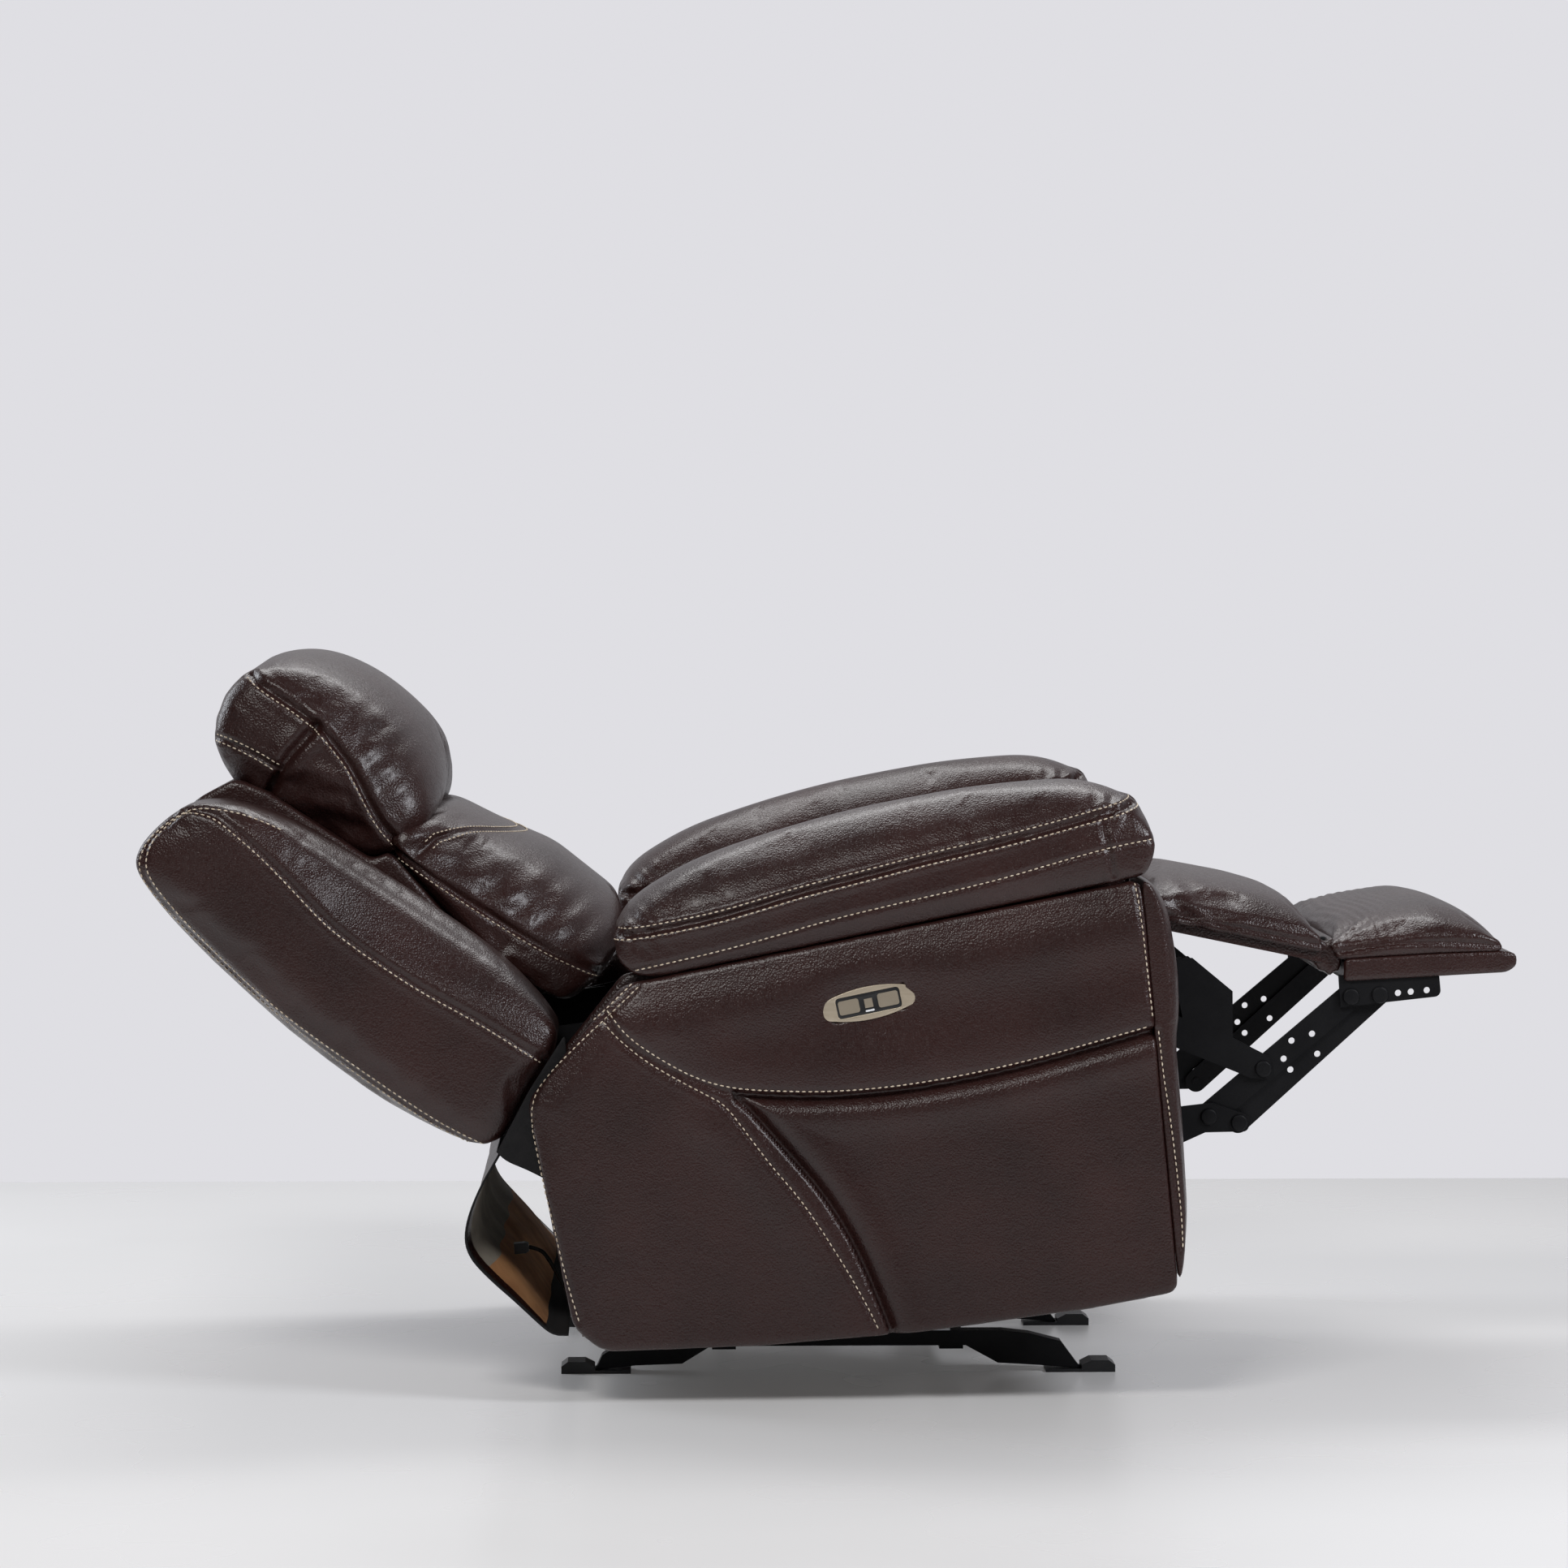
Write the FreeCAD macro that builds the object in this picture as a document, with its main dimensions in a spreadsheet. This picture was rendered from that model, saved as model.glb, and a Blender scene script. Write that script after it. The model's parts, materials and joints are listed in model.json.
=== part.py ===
import FreeCAD, Part
import math
import os
import re

import Sketcher

# Power rocker recliner armchair, shown fully reclined with its footrest out.
# The seat unit is drawn level, with its front towards +X, its right side towards -Y
# and the rocker's contact point at x = 0. A placement then tips it back on the rocker.
# The back is drawn upright in the same frame and then reclined about its hinge.

doc = FreeCAD.newDocument("recliner_armchair")
sheet = doc.addObject("Spreadsheet::Sheet", "Sizes")

SIZES = {
    # pose in which the chair is stored
    "tilt_angle": 5.4, "recline_angle": 36, "centre_shift": 13,
    # running gaps and plate gauges
    "clear_gap": 0.4, "pin_play": 0.06, "plate_gauge": 4, "layer_pitch": 6,
    # rocker base
    "base_width": 446, "rail_width": 26, "rail_top": 52, "foot_reach": 347, "foot_width": 44,
    "leg_reach": 304, "bar_reach": 160, "bar_under": 33, "rocker_height": 55, "rocker_radius": 300,
    "cam_reach": 140, "cam_top": 112, "rocker_gap": 2,
    # arms
    "body_width": 1000, "arm_width": 190, "panel_wall": 18, "front_face": 407, "front_top": 598,
    "rear_face": -323, "shoulder_back": -352, "shoulder_top": 402, "slope_back": -226, "slope_top": 531,
    "skirt_under": 90, "roll_depth": 25, "pad_rise": 107,
    # seat
    "seat_width": 600, "seat_back": -112, "seat_under": 474, "seat_front_top": 596, "seat_rear_top": 520,
    "rail_height": 42, "rail_depth": 24,
    # back
    "back_width": 940, "wing_width": 168, "cushion_width": 588, "hinge_back": -263, "hinge_up": 452,
    "post_width": 32, "post_depth": 30, "post_back": -400, "post_lean": 104, "post_top": 955, "cover_wall": 14,
    # footrest linkage, from the front face of the arms
    "calf_pivot_out": 11, "calf_pivot_up": 528, "crease_out": 239, "crease_up": 478,
    "foot_length": 218, "foot_width_half": 288, "board_wall": 20,
    "rear_pivot_in": 157, "rear_pivot_up": 410, "drive_pivot_in": 86, "drive_pivot_up": 456,
    "elbow_out": 75, "elbow_up": 281, "guide_out": 112, "guide_up": 270,
    "cross_out": 148, "cross_up": 334, "toe_out": 265, "toe_up": 413, "toe_spread": 36,
    "link_plane": 278, "long_half": 16, "guide_half": 14, "pin_radius": 5, "tube_radius": 15,
    # switch
    "switch_x": 67, "switch_up": 482, "switch_slope": 6.3, "switch_length": 112, "switch_height": 40,
    "button_length": 25, "button_height": 17, "button_spacing": 24, "button_depth": 5, "button_travel": 1.5,
    "memory_half": 5, "memory_high": 5.5, "insert_half": 42, "insert_high": 11,
    # rear flap and lead
    "flap_width": 880, "flap_wall": 3, "lead_diameter": 5,
}

for row, (alias, value) in enumerate(SIZES.items(), start=1):
    sheet.set(f"A{row}", alias)
    sheet.set(f"B{row}", str(value))
    sheet.setAlias(f"B{row}", alias)
doc.recompute()


def size(alias):
    """The value of one named size, read back from the sheet."""
    return float(sheet.get(alias))


def cells(text):
    """A formula in the sheet's aliases, in the form that setExpression takes."""
    return re.sub(r"[a-z]\w*", lambda word: "Sizes." + word.group(), str(text))


def bind(item, **formulas):
    for name, text in formulas.items():
        item.setExpression(name, cells(text))


def turn(angle, x, z):
    """Nose-down rotation by angle degrees about the Y axis through (x, z)."""
    axis = FreeCAD.Rotation(FreeCAD.Vector(0, 1, 0), angle)
    centre = FreeCAD.Vector(x, 0, z)
    return FreeCAD.Placement(FreeCAD.Vector(), axis, centre)


SHIFT = FreeCAD.Placement(FreeCAD.Vector(size("centre_shift"), 0, 0), FreeCAD.Rotation())
SEAT = SHIFT * turn(-size("tilt_angle"), 0, size("rocker_height"))
BACK = SEAT * turn(-size("recline_angle"), size("hinge_back"), size("hinge_up"))

nodes = {}


def keep(name, item):
    """Registers a finished piece under its node name."""
    item.Label = name
    nodes[name] = item
    return item


def sketch_on(body, name, loops, circles, side):
    """A fully constrained sketch of closed polygons and circles on the body's XZ plane."""
    plane = [feature for feature in body.Origin.OriginFeatures if feature.Role == "XZ_Plane"][0]
    sketch = body.newObject("Sketcher::SketchObject", name)
    sketch.AttachmentSupport = (plane, [""])
    sketch.MapMode = "FlatFace"
    bind(sketch, **{".AttachmentOffset.Base.z": f"-({side})"})
    for corners in loops:
        count = len(corners)
        first = sketch.GeometryCount
        guess = [FreeCAD.Vector(math.cos(6.28 * k / count), math.sin(6.28 * k / count), 0) * 100
                 for k in range(count)]
        for k in range(count):
            sketch.addGeometry(Part.LineSegment(guess[k], guess[(k + 1) % count]))
        for k in range(count):
            sketch.addConstraint(Sketcher.Constraint("Coincident", first + k, 2, first + (k + 1) % count, 1))
        for k, (x, z) in enumerate(corners):
            pin_point(sketch, first + k, 1, x, z)
    for x, z, radius in circles:
        ring = sketch.addGeometry(Part.Circle(FreeCAD.Vector(1, 1, 0), FreeCAD.Vector(0, 0, 1), 5))
        pin_point(sketch, ring, 3, x, z)
        index = sketch.addConstraint(Sketcher.Constraint("Radius", ring, 5))
        bind(sketch, **{f"Constraints[{index}]": radius})
    return sketch


def pin_point(sketch, geometry, point, x, z):
    """Ties one point of a sketch to two formulas."""
    for kind, text in (("DistanceX", x), ("DistanceY", z)):
        index = sketch.addConstraint(Sketcher.Constraint(kind, -1, 1, geometry, point, 10))
        bind(sketch, **{f"Constraints[{index}]": text})


def plate(name, corners, low_y, high_y, holes=(), windows=(), rounds=(), place=SEAT):
    """A piece with one outline in XZ, from low_y to high_y, with rounded corners where asked.

    rounds lists (corner number, radius) of the outline."""
    body = doc.addObject("PartDesign::Body", name)
    sketch = sketch_on(body, name + "_outline", [corners, *windows], holes, high_y)
    pad = body.newObject("PartDesign::Pad", name + "_pad")
    pad.Profile = sketch
    bind(pad, Length=f"({high_y}) - ({low_y})")
    body.Tip = pad
    if rounds:
        doc.recompute()
        points = [sketch.getPoint(k, 1) for k in range(len(corners))]
        for corner, radius in rounds:
            before = body.Tip
            fillet = body.newObject("PartDesign::Fillet", name + "_round")
            fillet.Base = (before, [edge_at(before.Shape, points[corner])])
            bind(fillet, Radius=radius)
            body.Tip = fillet
            doc.recompute()
    body.Placement = place
    return body


def edge_at(shape, point):
    """The name of the edge that runs along Y through a sketch point."""
    for number, edge in enumerate(shape.Edges, start=1):
        ends = [vertex.Point for vertex in edge.Vertexes]
        if len(ends) == 2 and all(math.hypot(end.x - point.x, end.z - point.y) < 0.01 for end in ends):
            return f"Edge{number}"
    raise ValueError("no edge at this corner")


def mirrored(item, label):
    """The same piece on the other side of the chair."""
    twin = doc.addObject("Part::Mirroring", label)
    twin.Source = item
    twin.Normal = FreeCAD.Vector(0, 1, 0)
    return twin


def group(name, items):
    """Identical or joined pieces that share one node, each still its own solid."""
    compound = doc.addObject("Part::Compound", name)
    compound.Links = items
    return keep(name, compound)


def both_sides(name, item):
    """One node per side."""
    keep(name + "_right", item)
    keep(name + "_left", mirrored(item, name + "_left"))


def pair(name, item):
    """One node that holds the piece of each side."""
    return group(name, [item, mirrored(item, name + "_twin")])


def box(name, x, y, z, length, width, height, place=SEAT):
    """A Part box from its low corner and its three sizes, all of them formulas."""
    item = doc.addObject("Part::Box", name)
    bind(item, Length=length, Width=width, Height=height)
    corner = FreeCAD.Placement(FreeCAD.Vector(value(x), value(y), value(z)), FreeCAD.Rotation())
    item.Placement = place * corner
    return item


def rod(name, x, z, radius, low_y, high_y, place=SEAT):
    """A round bar along Y."""
    item = doc.addObject("Part::Cylinder", name)
    bind(item, Radius=radius, Height=f"({high_y}) - ({low_y})")
    base = FreeCAD.Vector(value(x), value(low_y), value(z))
    along_y = FreeCAD.Rotation(FreeCAD.Vector(1, 0, 0), -90)
    item.Placement = place * FreeCAD.Placement(base, along_y)
    return item


def value(text):
    """The number that a formula in the sheet's aliases gives."""
    if isinstance(text, (int, float)):
        return float(text)
    return float(FreeCAD.Units.Quantity(re.sub(r"[a-z]\w*", lambda word: f"({size(word.group())})", text)))


def fused(name, items):
    joined = doc.addObject("Part::MultiFuse", name)
    joined.Shapes = items
    return joined


# ---------------------------------------------------------------- rocker base

def make_base():
    outer = "base_width/2"
    inner = "base_width/2 - rail_width"
    rail = plate("rail", [
        ("-leg_reach", "4"), ("-leg_reach + 8", "22"), ("-leg_reach + 38", "rail_top - 11"),
        ("-leg_reach + 68", "rail_top"), ("leg_reach - 99", "rail_top"), ("leg_reach - 64", "rail_top - 4"),
        ("leg_reach - 25", "rail_top - 14"), ("leg_reach", "4"), ("leg_reach - 55", "8"),
        ("bar_reach + 40", "11"), ("bar_reach", "bar_under"), ("-bar_reach", "bar_under"),
        ("-bar_reach - 36", "11"), ("-leg_reach + 50", "9")],
        f"-{outer}", f"-({inner})", place=SHIFT)
    both_sides("base_rail", rail)

    middle = "(base_width - rail_width)/2"
    feet = []
    for end, sign in (("front", ""), ("rear", "-")):
        foot = plate(f"foot_{end}_solid", [
            (f"{sign}(leg_reach - 44)", "0"), (f"{sign}foot_reach", "0"), (f"{sign}foot_reach", "9"),
            (f"{sign}(foot_reach - 8)", "15"), (f"{sign}(foot_reach - 30)", "15"),
            (f"{sign}(leg_reach + 1)", "9"), (f"{sign}(leg_reach + 1)", "4"), (f"{sign}(leg_reach - 44)", "4")],
            f"-{middle} - foot_width/2", f"-{middle} + foot_width/2", place=SHIFT)
        feet += [foot, mirrored(foot, f"foot_{end}_twin")]
    group("feet", feet)

    crosses = [box(f"cross_{end}", x, "-base_width/2 + rail_width", "bar_under - 8",
                   "30", "base_width - 2*rail_width", "20", SHIFT)
               for end, x in (("front", "bar_reach - 32"), ("rear", "-bar_reach + 2"))]
    group("base_crosses", crosses)

    bearing = box("bearing", "-cam_reach", "-base_width/2", "rail_top", "2*cam_reach", "rail_width",
                  "rocker_height - rail_top", SHIFT)
    pair("rocker_bearings", bearing)

    coils = []
    for number in range(4):
        ring = doc.addObject("Part::Torus", "coil")
        bind(ring, Radius1="13", Radius2="2.4")
        centre = FreeCAD.Vector(value("-bar_reach + 17"), value("-base_width/4"), 47.6 + 4.9 * number)
        ring.Placement = SHIFT * FreeCAD.Placement(centre, FreeCAD.Rotation())
        coils += [ring, mirrored(ring, "coil_twin")]
    group("rocker_springs", coils)


# ---------------------------------------------------------------- seat frame

def make_seat_frame():
    block = box("cam_block", "-cam_reach", "-base_width/2", "rocker_height + rocker_gap",
                "2*cam_reach", "rail_width", "cam_top - rocker_height - rocker_gap")
    disc = rod("cam_disc", "0", "rocker_height + rocker_gap + rocker_radius", "rocker_radius",
               "-base_width/2", "-base_width/2 + rail_width")
    cam = doc.addObject("Part::Common", "rocker_cam")
    cam.Base = block
    cam.Tool = disc
    pair("rocker_cams", cam)

    span = "link_plane + layer_pitch - plate_gauge"
    bars = [box(f"cam_bar_{number}", x, f"-({span})", "cam_top", "26", f"2*({span})", "18")
            for number, x in enumerate(("-cam_reach + 6", "cam_reach - 32"))]
    group("cam_bars", bars)

    outline = [
        ("hinge_back - 24", "hinge_up - 22"), ("hinge_back - 22", "hinge_up + 20"),
        ("hinge_back + 23", "hinge_up + 26"), ("front_face - drive_pivot_in + 22", "drive_pivot_up + 22"),
        ("front_face - drive_pivot_in + 24", "drive_pivot_up - 16"),
        ("front_face - rear_pivot_in + 12", "rear_pivot_up - 24"), ("150", "250"), ("cam_reach - 6", "cam_top"),
        ("-cam_reach + 6", "cam_top"), ("-176", "226"), ("-176", "258"), ("hinge_back + 23", "hinge_up - 52")]
    wall = "link_plane + layer_pitch"
    flat = plate("side_flat", outline, f"-({wall})", f"-({wall} - plate_gauge)",
                 holes=[("hinge_back", "hinge_up", "pin_radius + pin_play")])
    spacers = [rod(f"spacer_{number}", x, z, "9", "-body_width/2 + arm_width", f"-({wall})")
               for number, (x, z) in enumerate((("-120", "300"), ("120", "300"), ("120", "430"), ("-120", "430")))]
    stubs = [rod(f"link_pin_{number}", x, z, "pin_radius", f"-({wall} - plate_gauge)",
                 "-link_plane + plate_gauge + 1.2")
             for number, (x, z) in enumerate((
                 ("front_face - rear_pivot_in", "rear_pivot_up"),
                 ("front_face - drive_pivot_in", "drive_pivot_up")))]
    both_sides("side_plate", fused("side_plate_solid", [flat, *spacers, *stubs]))

    front = box("front_rail", "front_face - rail_depth", f"-({span})", "seat_front_top - 118",
                "rail_depth", f"2*({span})", "rail_height")
    tabs = [box(f"tab_{number}", "front_face", y, "calf_pivot_up - 50", "calf_pivot_out - 4.2", "20", "42")
            for number, y in enumerate(("-210", "-10", "190"))]
    knuckles = []
    for number, y in enumerate(("-210", "-10", "190")):
        eye = plate(f"tab_eye_{number}", [
            ("front_face", "calf_pivot_up - 26"), ("front_face + calf_pivot_out + 8", "calf_pivot_up - 26"),
            ("front_face + calf_pivot_out + 8", "calf_pivot_up + 8"), ("front_face", "calf_pivot_up + 8")],
            y, f"{y} + 20", holes=[("front_face + calf_pivot_out", "calf_pivot_up", "pin_radius - 1")])
        knuckles.append(eye)
    keep("seat_front_rail", fused("front_rail_solid", [front, *tabs, *knuckles]))
    keep("calf_hinge_pin", rod("calf_pin", "front_face + calf_pivot_out", "calf_pivot_up", "pin_radius - 1",
                               "-240", "240"))

    keep("seat_rear_rail", box("rear_rail", "hinge_back + 48", f"-({span})", "hinge_up - 20",
                               "rail_depth", f"2*({span})", "38"))
    strips = []
    for number in range(5):
        y = f"{-205 + 100 * number}"
        strips.append(plate(f"spring_{number}", [
            ("hinge_back + 48", "hinge_up + 18"), ("front_face - rail_depth", "seat_front_top - 91"),
            ("front_face - rail_depth", "seat_front_top - 87"), ("hinge_back + 48", "hinge_up + 22")],
            y, f"{y} + 10"))
    group("seat_springs", strips)
    keep("rear_base_rail", box("base_rail_rear", "rear_face + 5", "-body_width/2 + arm_width", "skirt_under - 2",
                               "28", "body_width - 2*arm_width", "30"))


# ---------------------------------------------------------------- arms

def make_arms():
    outer = "-body_width/2"
    inner = "-body_width/2 + arm_width"
    slope = [("slope_back", "slope_top"), ("shoulder_back", "shoulder_top")]
    half = "switch_length/2 - 12"
    window = [(f"switch_x + ({half})*{c}", f"switch_up + ({half})*{s} + {dz}")
              for c, s, dz in ((-0.994, -0.11, -13), (0.994, 0.11, -13), (0.994, 0.11, 13), (-0.994, -0.11, 13))]
    skirt = [("front_face", "skirt_under + 8"), ("front_face", "front_top"), *slope,
             ("rear_face", "skirt_under + 35"), ("rear_face + 33", "skirt_under + 3"),
             ("-100", "skirt_under - 8"), ("100", "skirt_under - 10"), ("300", "skirt_under - 2")]
    right = plate("side_panel_solid", skirt, outer, f"{outer} + panel_wall", windows=[window],
                  rounds=[(3, "30")])
    left = plate("side_panel_far", skirt, "body_width/2 - panel_wall", "body_width/2", rounds=[(3, "30")])
    keep("side_panel_right", right)
    keep("side_panel_left", left)

    pair("inner_panels", plate("inner_panel_solid", [
        ("front_face", "skirt_under + 30"), ("front_face", "front_top"), *slope,
        ("rear_face", "skirt_under + 35"), ("rear_face + 20", "skirt_under + 22")],
        f"{inner} - panel_wall", inner))

    both_sides("front_roll", plate("front_roll_solid", [
        ("front_face", "skirt_under + 20"), ("front_face + 11", "skirt_under + 33"),
        ("front_face + roll_depth - 2", "skirt_under + 100"), ("front_face + roll_depth", "front_top - 200"),
        ("front_face + roll_depth - 8", "front_top - 6"), ("front_face", "front_top")],
        outer, inner, rounds=[(4, "6")]))

    pair("arm_rear_panels", plate("arm_rear", [
        ("rear_face", "skirt_under + 35"), ("shoulder_back", "shoulder_top - 30"),
        ("shoulder_back + 14", "shoulder_top - 30"), ("rear_face + 14", "skirt_under + 35")],
        f"{outer} + panel_wall", f"{inner} - panel_wall"))

    pad = plate("arm_pad_solid", [
        ("slope_back + 20", "slope_top + 2.3"), ("slope_back - 12", "slope_top + 50"),
        ("slope_back + 18", "slope_top + 91"), ("slope_back + 100", "slope_top + 133"),
        ("front_face - 336", "front_top + pad_rise"), ("front_face - 67", "front_top + pad_rise + 20"),
        ("front_face + 12", "front_top + pad_rise - 12"), ("front_face + 27", "front_top + 50"),
        ("front_face + 10", "front_top + 1"), ("front_face", "front_top")],
        "-body_width/2", "-body_width/2 + arm_width + 8",
        rounds=[(1, "26"), (3, "120"), (5, "60"), (6, "26")])
    both_sides("arm_pad", pad)

    post_low = f"{outer} + panel_wall + 46"
    frames = []
    for number, (x, top) in enumerate((("-190", "slope_top - 24"), ("60", "slope_top + 4"),
                                       ("front_face - 50", "front_top - 30"))):
        frames.append(box(f"arm_post_{number}", x, post_low, "skirt_under + 60", "36", "30",
                          f"({top}) - (skirt_under + 60)"))
    foot_rail = box("arm_foot_rail", "-300", post_low, "skirt_under + 30", "front_face + 290", "60", "30")
    pair("arm_frames", fused("arm_frame_solid", [*frames, foot_rail]))


# ---------------------------------------------------------------- seat and back upholstery

def make_seat_cushion():
    keep("seat_cushion", plate("seat_pad", [
        ("seat_back", "seat_under + 8"), ("front_face - 10", "seat_under + 54"),
        ("front_face - 10", "calf_pivot_up + 12"), ("front_face + 14", "calf_pivot_up + 20"),
        ("front_face + 16", "seat_front_top - 20"), ("front_face - 10", "seat_front_top"),
        ("front_face - 160", "seat_front_top - 12"), ("50", "seat_rear_top + 38"), ("seat_back", "seat_rear_top + 6")],
        "-seat_width/2", "seat_width/2", rounds=[(4, "10"), (8, "16")]))


def make_back():
    outer = "back_width/2"
    both_sides("wing", plate("wing_solid", [
        ("hinge_back - 277", "991"), ("hinge_back - 161", "1001"), ("hinge_back - 106", "929"),
        ("hinge_back - 52", "740"), ("hinge_back - 15", "604"), ("hinge_back - 22", "493"),
        ("hinge_back - 173", "438"), ("hinge_back - 231", "567"), ("hinge_back - 264", "720"),
        ("hinge_back - 275", "885")],
        f"-{outer}", f"-{outer} + wing_width", rounds=[(1, "40"), (4, "40")], place=BACK))

    keep("rear_cover", plate("rear_cover_solid", [
        ("hinge_back - 277", "991"), ("hinge_back - 275", "885"), ("hinge_back - 264", "720"),
        ("hinge_back - 231", "567"), ("hinge_back - 173", "438"), ("hinge_back - 173 + cover_wall", "440"),
        ("hinge_back - 231 + cover_wall", "570"), ("hinge_back - 264 + cover_wall", "722"),
        ("hinge_back - 275 + cover_wall", "885"), ("hinge_back - 277 + cover_wall", "991")],
        f"-{outer} + wing_width", f"{outer} - wing_width", place=BACK))

    keep("headrest", plate("headrest_solid", [
        ("hinge_back - 60", "800"), ("hinge_back - 102", "951"), ("hinge_back - 112", "1010"),
        ("hinge_back - 98", "1053"), ("hinge_back - 30", "1078"), ("hinge_back + 44", "1056"),
        ("hinge_back + 88", "980"), ("hinge_back + 98", "900"), ("hinge_back + 81", "830"),
        ("hinge_back + 39", "800")],
        "-cushion_width/2", "cushion_width/2", rounds=[(3, "30"), (5, "40"), (8, "30")], place=BACK))

    keep("back_cushion", plate("back_cushion_solid", [
        ("hinge_back - 38", "796"), ("hinge_back + 48", "793"), ("hinge_back + 97", "716"),
        ("hinge_back + 116", "636"), ("hinge_back + 129", "550"), ("hinge_back + 113", "506"),
        ("hinge_back + 10", "506"), ("hinge_back - 38", "600")],
        "-cushion_width/2", "cushion_width/2", rounds=[(1, "30"), (4, "24")], place=BACK))

    post_face = "link_plane - plate_gauge"
    foot = "hinge_up + 30"
    pair("back_posts", plate("back_post", [
        ("post_back", foot), ("post_back - post_lean", "post_top"),
        ("post_back - post_lean + post_depth", "post_top"), ("post_back + post_depth", foot)],
        f"-({post_face})", f"-({post_face} - post_width)", place=BACK))

    def behind(height):
        """The posts' rear face at a height."""
        return f"post_back - post_lean*({height} - hinge_up - 30)/(post_top - hinge_up - 30)"

    inside = f"({post_face} - post_width)"
    group("back_rails", [box(name, behind(low), f"-{inside}", low, "20", f"2*{inside}", "40", BACK)
                         for name, low in (("top_rail", "post_top - 40"), ("low_rail", "hinge_up + 40"))])
    straps = [box(f"back_strap_{number}", behind(height) + " + 12", f"-{inside}", height, "4",
                  f"2*{inside}", "50", BACK) for number, height in enumerate(("560", "650", "740", "830"))]
    group("back_webbing", straps)
    keep("back_filling", plate("back_filling_solid", [
        ("hinge_back - 84", "560"), (behind("560") + " + post_depth + 2", "560"),
        (behind("post_top") + " + post_depth + 2", "post_top"), ("hinge_back - 160", "985"),
        ("hinge_back - 116", "985"), ("hinge_back - 106", "951"), ("hinge_back - 64", "799"),
        ("hinge_back - 42", "796"), ("hinge_back - 42", "610")],
        f"-({post_face})", f"{post_face}", place=BACK))

    bracket = plate("hinge_plate", [
        ("hinge_back - 14", "hinge_up - 16"), ("hinge_back + 14", "hinge_up - 16"),
        ("hinge_back + 16", "hinge_up + 14"), ("post_back + post_depth + 4", "hinge_up + 96"),
        ("post_back - 14", "hinge_up + 110"), ("post_back + 2", foot)],
        "-link_plane", "-link_plane + plate_gauge", place=BACK)
    pin = rod("hinge_pin", "hinge_back", "hinge_up", "pin_radius",
              "-link_plane - layer_pitch - 3", "-link_plane", BACK)
    pair("recline_hinges", fused("hinge_bracket", [bracket, pin]))

    keep("rear_flap", plate("rear_flap_solid", [
        ("rear_face - 69", "338"), ("rear_face - 120", "246"), ("rear_face - 113", "217"),
        ("rear_face - 67", "158"), ("rear_face - 27", "112"), ("rear_face - 6", "112"),
        ("rear_face - 6", "112 + flap_wall"), ("rear_face - 26", "112 + flap_wall"),
        ("rear_face - 64", "160"), ("rear_face - 110", "219"), ("rear_face - 117", "245"),
        ("rear_face - 66", "336")],
        "-flap_width/2", "flap_width/2"))


# ---------------------------------------------------------------- footrest

def point(out, up):
    """A linkage point as numbers, measured from the front face of the arms."""
    return value(f"front_face + {out}"), value(up)


def link(name, start, end, half, plane, holes=(), lugs=()):
    """A flat link with round ends between two pivots, drawn along its own X axis."""
    length = math.hypot(end[0] - start[0], end[1] - start[1])
    angle = -math.degrees(math.atan2(end[1] - start[1], end[0] - start[0]))
    here = FreeCAD.Placement(FreeCAD.Vector(start[0], 0, start[1]),
                             FreeCAD.Rotation(FreeCAD.Vector(0, 1, 0), angle))
    corners = [(f"-({half})", f"-({half})"), (f"{length} + ({half})", f"-({half})"),
               (f"{length} + ({half})", half), (f"-({half})", half)]
    body = plate(name, corners, f"-({plane})", f"-({plane}) + plate_gauge", holes=holes,
                 rounds=[(corner, f"({half}) - 0.5") for corner in range(4)], place=SEAT * here)
    return body


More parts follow.
